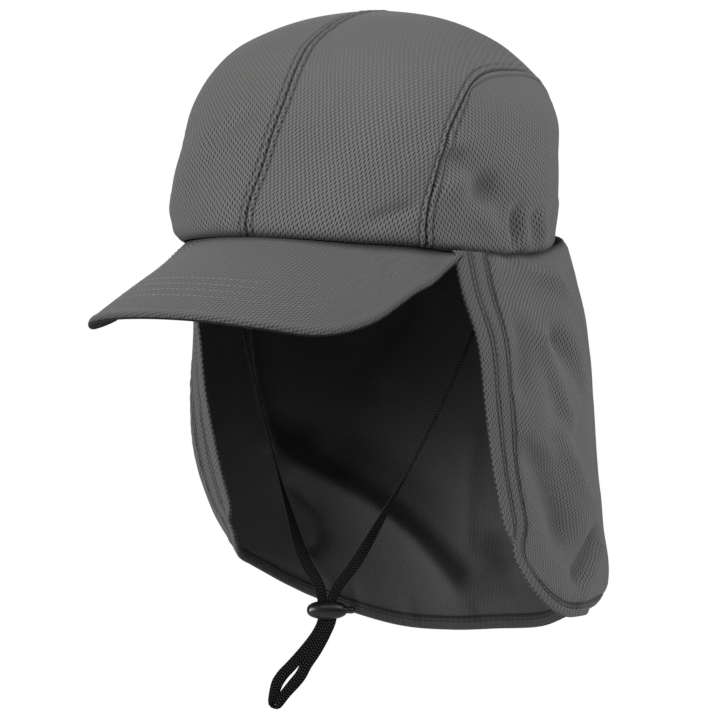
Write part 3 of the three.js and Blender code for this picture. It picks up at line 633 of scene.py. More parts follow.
def side_seam(t, aside):
    reach = SIDE_SEAM["half_span"] + aside / MM_PER_DEGREE
    rise = SIDE_SEAM["top"] + aside / MERIDIAN
    t = np.asarray(t, float)
    lean, ahead = np.cos(t * math.pi), t < 0.5
    power = 2 / np.where(ahead, SIDE_SEAM["square_ahead"], SIDE_SEAM["square_behind"])
    arch = np.clip(np.sin(t * math.pi), 0, 1) ** power
    foot = np.where(ahead, SIDE_SEAM["foot"] * (1 - arch) ** FOOT_FADE, 0)
    turn = SIDE_SEAM["middle"] + foot - reach * np.sign(lean) * np.abs(lean) ** power
    return on_disc(np.radians(turn), 1 - rise * arch)


def seam_relief(distance):
    """Cloth turned in at a seam, and pressed down by the row of stitching beside it."""
    turned = -TURNED_IN["deep"] * hump(distance, 0, TURNED_IN["wide"])
    padded = PADDED["high"] * smooth_step(PADDED["from"], PADDED["to"], distance) * close_to(
        distance - STITCH_ROW + PADDED["short"], PADDED["fade"])
    groove = -GROOVE["deep"] * hump(distance, STITCH_ROW, GROOVE["wide"])
    return turned + padded + groove


# painted shade in the turned-in seam and in the groove of the stitching beside it
def seam_painted_shade(distance, row="row"):
    stitched = hump(distance, STITCH_ROW, SEAM_SHADE["row_wide"])
    return SEAM_SHADE["seam"] * hump(distance, 0, SEAM_SHADE["wide"]) + SEAM_SHADE[row] * stitched


def pucker(distance, run, high=PUCKER["high"]):
    """Small waves across a seam, where the stitching has drawn the cloth up."""
    wave = np.sin(run * PUCKER["fine"] + PUCKER["sway"] * np.sin(run * PUCKER["slow"]))
    wave = wave + PUCKER["share"] * np.sin(run * PUCKER["coarse"] + PUCKER["late"])
    return high * wave * hump(distance, PUCKER["reach"], PUCKER["reach"])


def rim_roll(distance):
    rolled = np.clip(1 - distance / RIM_ROLL["over"], 0, 1) ** 2
    return -RIM_ROLL["deep"] * rolled + RIM_ROLL["bulge"] * hump(distance, RIM_ROLL["at"], RIM_ROLL["wide"])


def feet(aside):
    return [math.atan2(a, -b) for a, b in (side_seam(0, aside), side_seam(1, aside))]


def top_patch(hand):
    foot = feet(SEAM_HALF)
    middle = math.radians(SEAM_HALF / MM_PER_DEGREE)
    lean = hand * SEAM_LEAN["far"]
    return coons_patch(
        lambda u: on_disc(middle + u * (foot[0] - middle), 1),
        lambda u: on_disc(math.pi - middle + u * (foot[1] - math.pi + middle), 1),
        lambda v: np.stack([middle + lean * np.clip(np.sin(math.pi * v), 0, 1) ** SEAM_LEAN["fullness"],
                            -1 + 2 * v], -1),
        lambda v: side_seam(v, SEAM_HALF))


def side_patch():
    foot = feet(-SEAM_HALF)
    return coons_patch(
        lambda u: on_disc(foot[0] + u * (foot[1] - foot[0]), 1),
        lambda u: side_seam(UPRIGHT + u * (1 - 2 * UPRIGHT), -SEAM_HALF),
        lambda v: side_seam(UPRIGHT * v, -SEAM_HALF),
        lambda v: side_seam(1 - UPRIGHT * v, -SEAM_HALF))


def top_relief(form):
    seams = sum(seam_relief(form[side]) + pucker(form[side], form["run"]) for side in ("left", "right"))
    return seams + rim_roll(form["bottom"]) + rim_roll(form["top"])


def from_seam(form):
    """The distance from the nearest border, except the one at the rim."""
    return np.minimum(np.minimum(form["left"], form["right"]), form["top"])


def side_relief(form):
    near = from_seam(form)
    return seam_relief(near) + pucker(near, form["run"]) + rim_roll(form["bottom"])


# painted shade at the seams, and fading up from the rim where the crown's edge rolls in
def panel_painted_shade(form, kind):
    rim = close_to(form["bottom"], SEAM_SHADE["rim"])
    if kind == "top":
        seams = seam_painted_shade(form["left"], "centre_row") + seam_painted_shade(form["right"])
        rim = rim + close_to(form["top"], SEAM_SHADE["rim"])
    else:
        seams = seam_painted_shade(from_seam(form))
    return np.clip(seams + rim, 0, 1)


AT_SEAM = [0, 0.35, 0.7, 1.1, 1.6, 2.1, 2.6, 3, 3.4, 3.8, 4.3, 5, 6]
AT_RIM = [0, 0.6, 1.3, 2.2, 3.2, 4.4, 6]
CROWN_STEP = 1.7
pieces = {}
forms = {}


def crown_panel(kind, hand, word):
    surface = {"point": lambda a, b: crown_point(hand * a, b), "lift": lambda a, b: crown_lift(hand * a, b),
               "step": 0.01, "outward": hand}
    if kind == "top":
        patch, relief, over = top_patch(hand), top_relief, AT_RIM
    else:
        patch, relief, over = side_patch(), side_relief, AT_SEAM
    near = {"left": AT_SEAM, "right": AT_SEAM, "bottom": AT_RIM, "top": over}
    grid = fit_grid(lambda u, v: surface["point"](*np.moveaxis(patch(u, v), -1, 0)), near, CROWN_STEP)
    name = f"{kind}_panel_{word}"
    forms[name] = cloth_form(surface, patch, *grid, relief, CLOTH, CLOTH)
    forms[name]["crease"] = panel_painted_shade(forms[name], kind)
    pieces[name] = cloth_piece(f"{name}_cloth", forms[name])


for hand, word in ((LEFT, "left"), (RIGHT, "right")):
    for kind in ("top", "side"):
        crown_panel(kind, hand, word)

# %% [markdown]
# ## Neck flap, binding and edge strips
# The flap is one U of knit. Its cut edge is bound by a narrow strip held with a double row of
# stitching, and down each front edge a second strip lies outside the binding. A strip's relief
# is a short list of heights across its width, so both double-needle lines run all the way round.

# %% Flap pieces
FLAP_STEPS = {"upright": 17, "over": 44}
FLAP_TOTAL = 2 * FLAP_STEPS["upright"] + FLAP_STEPS["over"]
EDGE_STRIP_STEPS = 16
STRIP_GRID = {"along": 9, "across": 40}
flap_surface = {"point": flap_point, "lift": flap_lift, "step": 0.5, "outward": -1}
# across a strip, from its outer edge to its inner edge: the height of its face, and of its back, and the
# painted shade at its edges and in the grooves of its stitching
STRIP_PROFILE = table(
    "inset height back crease",
    (0, -1.2, -1.4, 0.7),
    (0.3, -0.4, -2.0, 0.2),
    (0.9, -0.05, -2.5, 0),
    (1.8, 0, -2.6, 0),
    (3.4, 0, -2.6, 0),
    (4.1, -0.1, -2.5, 0.1),
    (4.5, -0.6, -2.2, 0.8),
    (4.9, -0.15, -2.5, 0.1),
    (5.3, -0.1, -2.5, 0.1),
    (5.7, -0.6, -2.2, 0.8),
    (6.1, -0.3, -2.4, 0.3),
    (6.5, -0.8, -1.4, 0.9),
)
# the cloth runs on under the strip beside it
FLAP_LAP = 1.6
STRIP_LAP = 0.7
# the flap's face sinks under a strip, swells just inside it and thins; a line of painted shade marks the
# strip
FLAP_EDGE = {"sink": 0.6, "over": 0.8, "swell": 0.35, "at": 5.5, "wide": 2.5, "thin": 0.8, "line": 0.7,
             "pucker": 0.15}
# the flap's top sinks under the crown's rim, and painted shade darkens it near its top edge
FLAP_RIM = {"sink": 1.2, "over": 4, "dark": 3}
# by the ears the top of the flap is drawn in further, towards the rim
FLAP_TUCK = {LEFT: 5.2, RIGHT: 2.4, "from": 100, "to": 128, "clear": (4, 26), "reach": 12}


def flap_patch():
    corner = FLAP_STEPS["upright"] / FLAP_TOTAL
    inner = lambda binding: binding + STRIP_STEP - FLAP_LAP
    edge = FLAP_HALF - (1 + STRIP_FLARE["more"]) * inner(STRIP_STEP)
    return coons_patch(
        lambda u: flap_top(edge * (1 - 2 * u)),
        lambda u: flap_outline(corner + u * (1 - 2 * corner), inner),
        lambda v: flap_outline(corner * v, inner),
        lambda v: flap_outline(1 - corner * v, inner))


def flap_relief(form):
    near, along = from_seam(form), form["ab"][..., 0]
    edge = (-FLAP_EDGE["sink"] * close_to(near, FLAP_LAP + FLAP_EDGE["over"])
            + FLAP_EDGE["swell"] * hump(near, FLAP_EDGE["at"], FLAP_EDGE["wide"]))
    waves = pucker(near, form["run"] + form["across"], FLAP_EDGE["pucker"])
    by_ear = smooth_step(FLAP_TUCK["from"], FLAP_TUCK["to"], np.abs(along))
    drawn = by_ear * smooth_step(*FLAP_TUCK["clear"], near)
    tuck = np.where(along > 0, FLAP_TUCK[LEFT], FLAP_TUCK[RIGHT]) * drawn
    tuck = tuck * close_to(form["bottom"], FLAP_TUCK["reach"])
    return edge + waves - FLAP_RIM["sink"] * close_to(form["bottom"], FLAP_RIM["over"]) - tuck


def flap_wall(form):
    return CLOTH - FLAP_EDGE["thin"] * close_to(from_seam(form), FLAP_LAP + FLAP_EDGE["over"])


def flap_strip(name, start, stop, outer_of, inner_of, node):
    def place(u, v):
        t = (start + u * (stop - start)) / FLAP_TOTAL
        outer, inner = flap_outline(t, outer_of), flap_outline(t, inner_of)
        return outer + v[..., None] * (inner - outer)

    def across_strip(form, column):
        share = form["run"] / form["run"][-1:]
        return np.interp(share * STRIP_WIDE, STRIP_PROFILE["inset"], STRIP_PROFILE[column])

    count = round((stop - start) * STRIP_GRID["along"])
    u, v = np.meshgrid(np.linspace(0, 1, count + 1), np.linspace(0, 1, STRIP_GRID["across"]))
    form = cloth_form(flap_surface, place, u, v, lambda form: across_strip(form, "height"),
                      lambda form: across_strip(form, "height") - across_strip(form, "back"), CLOTH + GAP)
    # painted shade across the strip, read from its profile
    form["crease"], form["centre"] = across_strip(form, "crease"), STRIP_WIDE / 2
    form["across"], form["run"] = form["run"], form["across"]
    forms[node] = form
    pieces[node] = cloth_piece(name, form)


AT_HEM = [0, 0.8, 1.4, 1.9, 2.5, 3.2, 4.2, 6]
AT_TOP = [0, 1, 2.2]
FLAP_STEP = 1.9
patch = flap_patch()
near = {"left": AT_HEM, "right": AT_HEM, "bottom": AT_TOP, "top": AT_HEM}
grid = fit_grid(lambda u, v: flap_point(*np.moveaxis(patch(u, v), -1, 0)), near, FLAP_STEP)
flap = cloth_form(flap_surface, patch, *grid, flap_relief, flap_wall, CLOTH)
# painted shade: a dark line along the strips' edges, and a darker band under the crown's rim
line = hump(from_seam(flap), FLAP_LAP, FLAP_EDGE["line"])
flap["crease"] = np.clip(line + close_to(flap["bottom"], FLAP_RIM["dark"]), 0, 1)
pieces["neck_flap"] = cloth_piece("neck_flap_cloth", flap)
flap_strip("flap_binding_cloth", 0, FLAP_TOTAL, lambda b: b, lambda b: b + STRIP_WIDE, "flap_binding")
outer_edge, inner_edge = lambda b: KINK_TAPER * (STRIP_STEP - b), lambda b: b + STRIP_LAP
flap_strip("edge_strip_left_cloth", 0, EDGE_STRIP_STEPS, outer_edge, inner_edge, "edge_strip_left")
flap_strip("edge_strip_right_cloth", FLAP_TOTAL - EDGE_STRIP_STEPS, FLAP_TOTAL, outer_edge, inner_edge,
           "edge_strip_right")

# %% [markdown]
# ## Peak
# The peak is a stiffener in two layers of knit. Its top and underside are one grid each, and both
# run on round the rolled edge until they meet in its middle.

# %% Peak
PEAK = table(
    "across ahead drop",
    (0, 163, 30),
    (26, 160, 31),
    (48, 150, 34),
    (64, 127, 37.5),
    (71.5, 97, 33),
    (76.5, 69, 20),
    (77, 56, 16),
    (78.6, 44, 8.5),
    (79.8, 36.5, 3.6),
)
PEAK_THICK = 2.4
PEAK_EDGE = 3.2
PEAK_END = 65
PEAK_BULGE = 2
PEAK_TUCK = 3
PEAK_GRID = {"across": 181, "root": 34, "front": 14, "front_from": 0.9, "rolled": 9, "rolled_to": 3}
# the shortest reach from root to edge that is allowed for, and where the edge starts to thicken
PEAK_SHORT = 12
PEAK_TAPER = (1.5, 4)
PEAK_RIDGE = {"from_edge": 3.2, "high": 0.35, "wide": 1.1}
# painted shade along the peak's rolled edge and at its root under the crown's rim
PEAK_SHADE = {"rolled": 0.55, "edge": 3.4, "root": 3}


def spline(points, t, power=0.25):
    """A Catmull-Rom curve through points, at t from 0 to 1: centripetal for power 0.25."""
    p = np.asarray(points, float)
    p = np.concatenate([[2 * p[0] - p[1]], p, [2 * p[-1] - p[-2]]])
    at = np.clip(t, 0, 1) * (len(p) - 3)
    low = np.clip(np.floor(at), 0, len(p) - 4).astype(int)
    s = (at - low)[..., None]
    a, b, c, d = (p[low + k] for k in range(4))
    gap = [((q - r) ** 2).sum(-1, keepdims=True) ** power for q, r in ((a, b), (b, c), (c, d))]
    m = gap[1] * ((b - a) / gap[0] - (c - a) / (gap[0] + gap[1]) + (c - b) / gap[1])
    n = gap[1] * ((c - b) / gap[1] - (d - b) / (gap[1] + gap[2]) + (d - c) / gap[2])
    return b + s * (m + s * (3 * (c - b) - 2 * m - n + s * (2 * (b - c) + m + n)))


def by_length(points, power=0.25, fine=4000):
    """The curve's parameter as a function of the share of its length, and that length."""
    t = np.linspace(0, 1, fine)
    walked = lengths(spline(points, t, power), 0)
    return lambda share: np.interp(share * walked[-1], walked, t), walked[-1]


half_outline = np.stack([PEAK["across"], -PEAK["ahead"], -PEAK["drop"]], -1)
peak_outline = np.concatenate([half_outline[:0:-1] * [-1, 1, 1], half_outline])
outline_share = by_length(peak_outline)[0]


def peak_point(across, forward):
    turn = np.radians((2 * across - 1) * PEAK_END)
    root = crown_point(*np.moveaxis(on_disc(turn, np.ones_like(turn)), -1, 0))
    level = root * [1, 1, 0]
    root = root - PEAK_TUCK * level / np.linalg.norm(level, axis=-1, keepdims=True) - [0, 0, GAP]
    edge = spline(peak_outline, outline_share(across))
    point = root + (edge - root) * forward[..., None]
    point[..., 2] += PEAK_BULGE * 4 * forward * (1 - forward) * np.sin(math.pi * across)
    return point


def make_peak():
    across, front = np.linspace(0, 1, PEAK_GRID["across"]), PEAK_GRID["front_from"]
    turns = np.radians(np.linspace(90, PEAK_GRID["rolled_to"], PEAK_GRID["rolled"]))[1:]
    tips, roots = (peak_point(across, np.full_like(across, end)) for end in (1, 0))
    reach = np.linalg.norm(tips - roots, axis=-1)
    radius = PEAK_EDGE / 2
    shares = np.concatenate([np.linspace(0, front, PEAK_GRID["root"])[:-1],
                             np.linspace(front, 1, PEAK_GRID["front"])])
    u, f = np.meshgrid(across, shares)
    f = f * (1 - radius / np.maximum(reach, PEAK_SHORT))
    middle = peak_point(u, f)
    away = peak_point(u[0], np.ones_like(u[0])) - peak_point(u[0], np.full_like(u[0], front))
    away /= np.linalg.norm(away, axis=-1, keepdims=True)
    from_edge = (1 - f) * reach
    thick = PEAK_THICK / 2 + (radius - PEAK_THICK / 2) * (1 - smooth_step(*PEAK_TAPER, from_edge))
    nose = radius * np.cos(turns)[:, None, None] * away
    sides = []
    for hand in (1, -1):
        ridge = PEAK_RIDGE["high"] * hump(from_edge, PEAK_RIDGE["from_edge"], PEAK_RIDGE["wide"])
        face = middle + np.stack([0 * u, 0 * u, hand * (thick + ridge) - PEAK_THICK / 2], -1)
        round_edge = middle[-1] + nose + [0, 0, -PEAK_THICK / 2]
        round_edge = round_edge + np.array([0, 0, hand * radius]) * np.sin(turns)[:, None, None]
        sides.append(np.concatenate([face, round_edge]))
    return sides


peak_top, peak_under = make_peak()
peak_form = {"outer": peak_top, "inner": peak_under, "across": lengths(peak_top, 1),
             "run": lengths(peak_top[::-1], 0)[::-1], "from_root": lengths(peak_top, 0),
             "centre": lengths(peak_top, 1)[:, -1:] / 2,
             "normal": np.broadcast_to([0.0, 0.0, 1.0], peak_top.shape),
             "fold": np.zeros(peak_top.shape[:2])}
# painted shade on the peak: darker round its rolled edge and at its root
rolled = PEAK_SHADE["rolled"] * close_to(peak_form["run"], PEAK_SHADE["edge"])
root_painted_shade = close_to(peak_form["from_root"], PEAK_TUCK + PEAK_SHADE["root"])
peak_form["crease"] = np.clip(root_painted_shade + rolled, 0, 1)
pieces["peak"] = cloth_piece("peak_cloth", peak_form)

# %% [markdown]
# ## Chin cord
# The cord is one flat braid, from one ear down through the lock, round its folded end and back up
# to the other ear. Its route is a short list of given points, with the direction that the flat
# side faces at each. A cord is a fixed length of something limp, so it is swept along the
# route and never stretched; only its width changes a little, where it lies slack.

# %% Chin cord
CORD_WIDE = 4.4
CORD_THICK = 1.3
# the cord's section is an oval with its two sides flattened
CORD_SECTION = {"points": 24, "flat": 0.7, "round": 0.8}
CORD_STEP = 0.6
NUDGE = 1e-4
STRAND = table(
    "x y z faces",
    (81.8, -5, 2, 0),
    (77.7, -5.5, -10, 10),
    (71.5, -7.5, -30, 28),
    (62, -11, -55, 35),
    (51.5, -15.5, -80, 35),
    (39, -20.5, -106, 28),
    (26.5, -25.5, -130, -5),
    (15.5, -29.5, -150, -40),
)
LOCK = {"x": 0, "y": -32, "z": -173.8, "turn": 35}
TAIL = table(
    "along down apart deep",
    (0.9, -11, 4.3, 0),
    (0.1, -6.2, 2.6, 0),
    (0, -4.5, 2.3, 0),
    (0, 4.5, 2.15, 0.1),
    (-2.4, 10.5, 2.2, 0.2),
    (-7.4, 18.5, 2.7, 0.2),
    (-13.4, 26.3, 3.4, 0.2),
    (-16.7, 30.8, 4.3, 0.5),
    (-19.7, 35, 3.9, 1.1),
    (-22.3, 39.5, 2.6, 1.7),
    (-24.2, 43.8, 1.4, 1.9),
)
TAIL_FOLD = 1.9
# a slack braid lies wider than one drawn through the lock: shares of its width by height
SPREAD = table("height share", (-219, 1), (-208, 1.28), (-195, 1.22), (-184, 1.04), (-166, 1.04),
               (-150, 1.22), (-120, 1.2), (-95, 1))
PLAIT = {"pitch": 1.5, "slant": 0.9, "high": 0.1}


def lock_place(along, down, deep):
    turn = math.radians(LOCK["turn"])
    x = LOCK["x"] + along * math.cos(turn) + deep * math.sin(turn)
    y = LOCK["y"] + along * math.sin(turn) - deep * math.cos(turn)
    return np.stack([x + 0 * down, y + 0 * down, LOCK["z"] - down], -1)


def cord_route():
    strand = np.stack([STRAND[k] for k in "xyz"], -1)
    facing = np.radians(STRAND["faces"])
    facing = np.stack([np.cos(facing), np.sin(facing), 0 * facing], -1)
    along, down, apart, deep = TAIL.values()
    near, far = lock_place(along + apart, down, deep), lock_place(along - apart, down, -deep)
    end = lock_place(along[-1:] - 0.6, down[-1:] + TAIL_FOLD, 0)
    away = np.tile(lock_place(0, np.zeros(1), 1) - lock_place(0, np.zeros(1), 0), (len(down), 1))
    places = np.concatenate([strand, near, end, far[::-1], strand[::-1] * [-1, 1, 1]])
    facings = np.concatenate([facing, away, [[0, 0, 1]], -away, facing[::-1] * [-1, -1, 1]])
    return places, facings


def cord_section():
    """A flat oval, counter-clockwise: offsets through the thickness and across the width."""
    points = CORD_SECTION["points"]
    turn = np.arange(points) / points * 2 * math.pi
    c, s = np.cos(turn), np.sin(turn)
    return (CORD_THICK / 2 * np.sign(c) * np.abs(c) ** CORD_SECTION["flat"],
            CORD_WIDE / 2 * np.sign(s) * np.abs(s) ** CORD_SECTION["round"])


def braid_relief(run, across):
    """Overlapping plaits, slanting up from both edges to the middle of the braid."""
    plait = ((run + np.abs(across) * PLAIT["slant"]) / PLAIT["pitch"]) % 1
    return PLAIT["high"] * (np.sin(plait * math.pi) - 0.5)


def sweep_cord(name, places, facings, ring_step):
    share_at, length = by_length(places)
    rings = round(length / ring_step)
    t = share_at(np.linspace(0, 1, rings + 1))
    centre, facing = spline(places, t), spline(facings, t, 0)
    tangent = spline(places, np.clip(t + NUDGE, 0, 1)) - spline(places, np.clip(t - NUDGE, 0, 1))
    tangent /= np.linalg.norm(tangent, axis=-1, keepdims=True)
    normal = facing - tangent * (facing * tangent).sum(-1, keepdims=True)
    normal /= np.linalg.norm(normal, axis=-1, keepdims=True)
    side = np.cross(tangent, normal)
    thick, wide = cord_section()
    run = np.linspace(0, length, rings + 1)[:, None]
    swell = 1 + braid_relief(run, wide[None]) / (CORD_THICK / 2)
    broad = wide[None] * np.interp(centre[:, 2], *SPREAD.values())[:, None]
    points = (centre[:, None] + normal[:, None] * (thick * swell)[..., None]
              + side[:, None] * broad[..., None])
    count = points.shape[1]
    ids = np.arange(points.shape[0] * count).reshape(-1, count)
    after = np.roll(ids, -1, 1)
    tube = np.stack([ids[:-1], after[:-1], after[1:], ids[1:]], -1).reshape(-1, 4)
    tube = turned_out(points.reshape(-1, 3), tube)
    caps = []
    for ring, flip in ((ids[0], 1), (ids[-1], -1)):
        half = count // 2
        caps += [[ring[k], ring[k + 1], ring[-k - 1], ring[-k]][::flip] for k in range(1, half - 1)]
    caps += [[ids[0][0], ids[0][1], ids[0][-1]], [ids[0][half - 1], ids[0][half], ids[0][half + 1]]]
    caps += [[ids[-1][0], ids[-1][-1], ids[-1][1]], [ids[-1][half + 1], ids[-1][half], ids[-1][half - 1]]]
    uv = np.stack([np.repeat(wide[None], rings + 1, 0), np.repeat(run, count, 1)], -1)
    uv = uv.reshape(-1, 2) / UV_UNIT
    faces = tube.tolist() + [list(map(int, cap)) for cap in caps]
    return make_piece(name, points.reshape(-1, 3), faces, [("braid", uv)]), centre, length


pieces["chin_cord"], cord_centre, cord_length = sweep_cord("chin_cord_braid", *cord_route(), CORD_STEP)
print("chin cord", round(cord_length), "mm")

# %% [markdown]
# ## Cord lock
# The lock is a moulded barrel with a rounded slot for both strands, and a spring button at one
# end. Both are turned shapes, so they are lathed and then cut. The button is its own piece,
# because it slides.

# %% Cord lock
BARREL = {"long": 19, "high": 9, "deep": 8.4, "blunt": 0.75, "rings": 41}
SLOT = {"long": 10, "deep": 2.6, "tall": 30}
LOCK_EDGE = {"width": 0.25, "segments": 2, "angle": 50}
PLUNGER = {"high": 3.6, "deep": 4.8, "head": 13.4, "tail": -6}
PRESS = 1.8


def lathe(name, outline, deep_share, sides=40):
    """A turned shape along X from (x, radius) rows, closed at both poles."""
    x, r = np.array(outline, float).T
    turn = np.arange(sides) / sides * 2 * math.pi
    rings = np.stack([np.repeat(x[1:-1, None], sides, 1), r[1:-1, None] * np.sin(turn) * deep_share,
                      r[1:-1, None] * np.cos(turn)], -1).reshape(-1, 3)
    vertices = np.concatenate([rings, [[x[0], 0, 0], [x[-1], 0, 0]]])
    ids = np.arange(len(rings)).reshape(-1, sides)
    after = np.roll(ids, -1, 1)
    faces = np.stack([ids[:-1], ids[1:], after[1:], after[:-1]], -1).reshape(-1, 4).tolist()
    faces += [[len(rings), int(a), int(b)] for a, b in zip(ids[0], after[0])]
    faces += [[len(rings) + 1, int(b), int(a)] for a, b in zip(ids[-1], after[-1])]
    return rough_piece(name, vertices, faces)


def rounded_block(name, low, high, deep, tall):
    """A bar through the lock whose section is a slot with round ends."""
    radius = deep / 2
    turn = np.radians(np.linspace(-90, 90, 9))
    x = np.concatenate([high - radius + radius * np.cos(turn), low + radius - radius * np.cos(turn)])
    y = np.concatenate([radius * np.sin(turn), -radius * np.sin(turn)])
    count = len(x)
    vertices = [(a, b, z) for z in (-tall / 2, tall / 2) for a, b in zip(x, y)]
    faces = [[k, (k + 1) % count, (k + 1) % count + count, k + count] for k in range(count)]
    faces += [list(range(count))[::-1], list(range(count, 2 * count))]
    return rough_piece(name, vertices, faces)


def apply_modifiers(piece):
    """The piece keeps the mesh that its modifiers make, and loses the modifiers."""
    bpy.context.view_layer.update()
    made = piece.evaluated_get(bpy.context.evaluated_depsgraph_get())
    piece.data = bpy.data.meshes.new_from_object(made)
    piece.modifiers.clear()


def cut_away(piece, *cutters):
    for cutter in cutters:
        modifier = piece.modifiers.new("cut", "BOOLEAN")
        modifier.object = cutter
        modifier.operation = "DIFFERENCE"
        modifier.solver = "EXACT"
    bevel = piece.modifiers.new("edge", "BEVEL")
    bevel.width, bevel.segments = LOCK_EDGE["width"], LOCK_EDGE["segments"]
    bevel.limit_method, bevel.angle_limit = "ANGLE", math.radians(LOCK_EDGE["angle"])
    apply_modifiers(piece)
    mesh = piece.data
    for cutter in cutters:
        bpy.data.objects.remove(cutter)
    turn = math.radians(LOCK["turn"])
    points = np.zeros(len(mesh.vertices) * 3)
    mesh.vertices.foreach_get("co", points)
    x, y, z = points.reshape(-1, 3).T
    placed = np.stack([LOCK["x"] + x * math.cos(turn) - y * math.sin(turn),
                       LOCK["y"] + x * math.sin(turn) + y * math.cos(turn), LOCK["z"] + z], -1)
    mesh.vertices.foreach_set("co", (placed * MM).ravel())
    mesh.polygons.foreach_set("use_smooth", np.ones(len(mesh.polygons), bool))
    mesh.update()
    return piece


def barrel_outline():
    turn = np.linspace(0, math.pi, BARREL["rings"])
    radius = BARREL["high"] / 2 * np.sin(turn) ** BARREL["blunt"]
    radius[[0, -1]] = 0
    return np.stack([-BARREL["long"] / 2 * np.cos(turn), radius], -1)


def plunger_outline():
    radius, head, tail = PLUNGER["high"] / 2, PLUNGER["head"], PLUNGER["tail"]
    turn = np.linspace(0, math.pi / 2, 9)
    nose = [(head - 1.6 + 1.6 * math.sin(t), radius * 0.92 * math.cos(t)) for t in turn[1:]]
    return [(tail, 0), (tail, radius), (9, radius), (9.6, radius * 0.9), (11.2, radius * 0.96),
            (head - 1.6, radius * 0.93)] + nose[:-1] + [(head, 0)]


deep_share, half = PLUNGER["deep"] / PLUNGER["high"], SLOT["long"] / 2
bore_end, bore_radius = PLUNGER["tail"] - PRESS - GAP, PLUNGER["high"] / 2 + GAP
bore = lathe("bore", [(bore_end, 0), (bore_end, bore_radius), (BARREL["long"], bore_radius),
                      (BARREL["long"], 0)], deep_share)
hole = rounded_block("hole", -half, half, SLOT["deep"], SLOT["tall"])
barrel = lathe("cord_lock_barrel", barrel_outline(), BARREL["deep"] / BARREL["high"])
pieces["cord_lock"] = cut_away(barrel, bore, hole)
hole = rounded_block("hole", -half, half + PRESS, SLOT["deep"], SLOT["tall"])
button = lathe("lock_button_plunger", plunger_outline(), deep_share)
pieces["lock_button"] = cut_away(button, hole)
print("lock", len(pieces["cord_lock"].data.polygons), "faces")

# %% [markdown]
# ## Materials by arithmetic
# A material is a graph of nodes. Writing one as Python arithmetic keeps it readable: `Wire` wraps
# an output socket, and each operator adds one Math node.


# %% Shader arithmetic
class Wire:
    def __init__(self, graph, socket):
        self.graph, self.socket = graph, socket

    def math(self, operation, *values):
        return self.graph.node("ShaderNodeMath", {"operation": operation}, *values)

    def __add__(self, other):
        return self.math("ADD", self, other)

    def __sub__(self, other):
        return self.math("SUBTRACT", self, other)

    def __rsub__(self, other):
        return self.math("SUBTRACT", other, self)

    def __mul__(self, other):
        return self.math("MULTIPLY", self, other)

    def __truediv__(self, other):
        return self.math("DIVIDE", self, other)

    def __abs__(self):
        return self.math("ABSOLUTE", self)

    __radd__, __rmul__ = __add__, __mul__


class Graph:
    """A material with its Principled shader."""

    def __init__(self, name, **settings):
        self.material = bpy.data.materials.new(name)
        self.material.use_nodes = True
        self.tree = self.material.node_tree
        self.shader = self.tree.nodes["Principled BSDF"]
        for socket, value in settings.items():
            self.shader.inputs[socket.replace("_", " ")].default_value = value

    def node(self, kind, settings=None, *values, output=0, **named):
        """Any node: its type, its settings first, then the values or links of its sockets."""
        node = self.tree.nodes.new(kind)
        for key, value in (settings or {}).items():
            setattr(node, key, value)
        for key, value in list(enumerate(values)) + list(named.items()):
            socket = node.inputs[key]
            if isinstance(value, Wire):
                self.tree.links.new(value.socket, socket)
            elif value is not None:
                socket.default_value = value
        return Wire(self, node.outputs[output])

    def link(self, wire, socket):
        self.tree.links.new(wire.socket, self.shader.inputs[socket])

    def uv(self, layer):
        """A UV map's two coordinates, in millimetres."""
        place = self.node("ShaderNodeUVMap", {"uv_map": layer})
        split = self.node("ShaderNodeSeparateXYZ", None, place)
        return split * UV_UNIT, Wire(self, split.socket.node.outputs[1]) * UV_UNIT

    def attribute(self, layer):
        return self.node("ShaderNodeAttribute", {"attribute_name": layer}, output="Fac")

    def object_place(self):
        """Object coordinates, split into X, Y and Z."""
        return self.node("ShaderNodeSeparateXYZ", None, self.node("ShaderNodeTexCoord", output="Object"))

    def noise(self, scale, detail=2):
        place = self.node("ShaderNodeTexCoord", output="Object")
        return self.node("ShaderNodeTexNoise", None, place, Scale=scale, Detail=detail)

    def step(self, value, low, high):
        """0 where the value is below low, 1 above high, smooth between."""
        return self.node("ShaderNodeMapRange", {"interpolation_type": "SMOOTHSTEP"}, value, low, high, 0, 1)

    def band(self, value, rise, fall):
        """0, then 1 from the end of the rise to the start of the fall, then 0 again."""
        return self.step(value, *rise) * (1 - self.step(value, *fall))

    def mix(self, factor, one, two):
        unused = [None] * 5
        return self.node("ShaderNodeMix", {"data_type": "RGBA"}, factor, *unused, one, two, output=2)

    def bump(self, height, strength):
        """Height in millimetres."""
        return self.node("ShaderNodeBump", None, Strength=strength, Distance=MM, Height=height)


# %% [markdown]
# ## Knit
# The fabric is a light mesh knit: small upright eyelets in rows, each row set half a pitch along
# from the last. Two lattices of ellipses make them. The inner face of the same knit is darker, partly
# its own colour and partly painted shade; painted shade also darkens seams, edges and fold bottoms.

# %% Knit material
EYELET = {"across": 2.35, "along": 3.4, "wide": 0.32, "long": 1.1}
# the knit is stretched smooth over the top of the crown, between these heights
SMOOTH_TOP = (0.045, 0.100)
# the inner face is darker, partly its own colour and partly painted shade, and painted shade darkens it
# more above the lower of these heights
INSIDE = {"heights": (-0.16, -0.05), "dark": 0.58, "more": 0.29, "eyelets": 0.6}
SHADE = {"plain": 0.80, "yarn": 0.28, "cloud": 0.12, "crease": 0.72, "smooth": 0.12}
# how far an eyelet closes over the smooth top, and where its edge fades, in squared radii
HOLE = {"closed": 0.75, "edge": (0.35, 1.6)}
NOISE = {"yarn": 1500, "cloud": 45}
KNIT_BUMP = {"yarn": 0.14, "hole": 0.16, "strength": 0.8}
DRIFT = {"scale": 140, "across": 0.8, "along": 0.7}
WARM = 0.016


def grey(level, warm=0.0):
    return (level * (1 + warm), level, level * (1 - warm), 1)


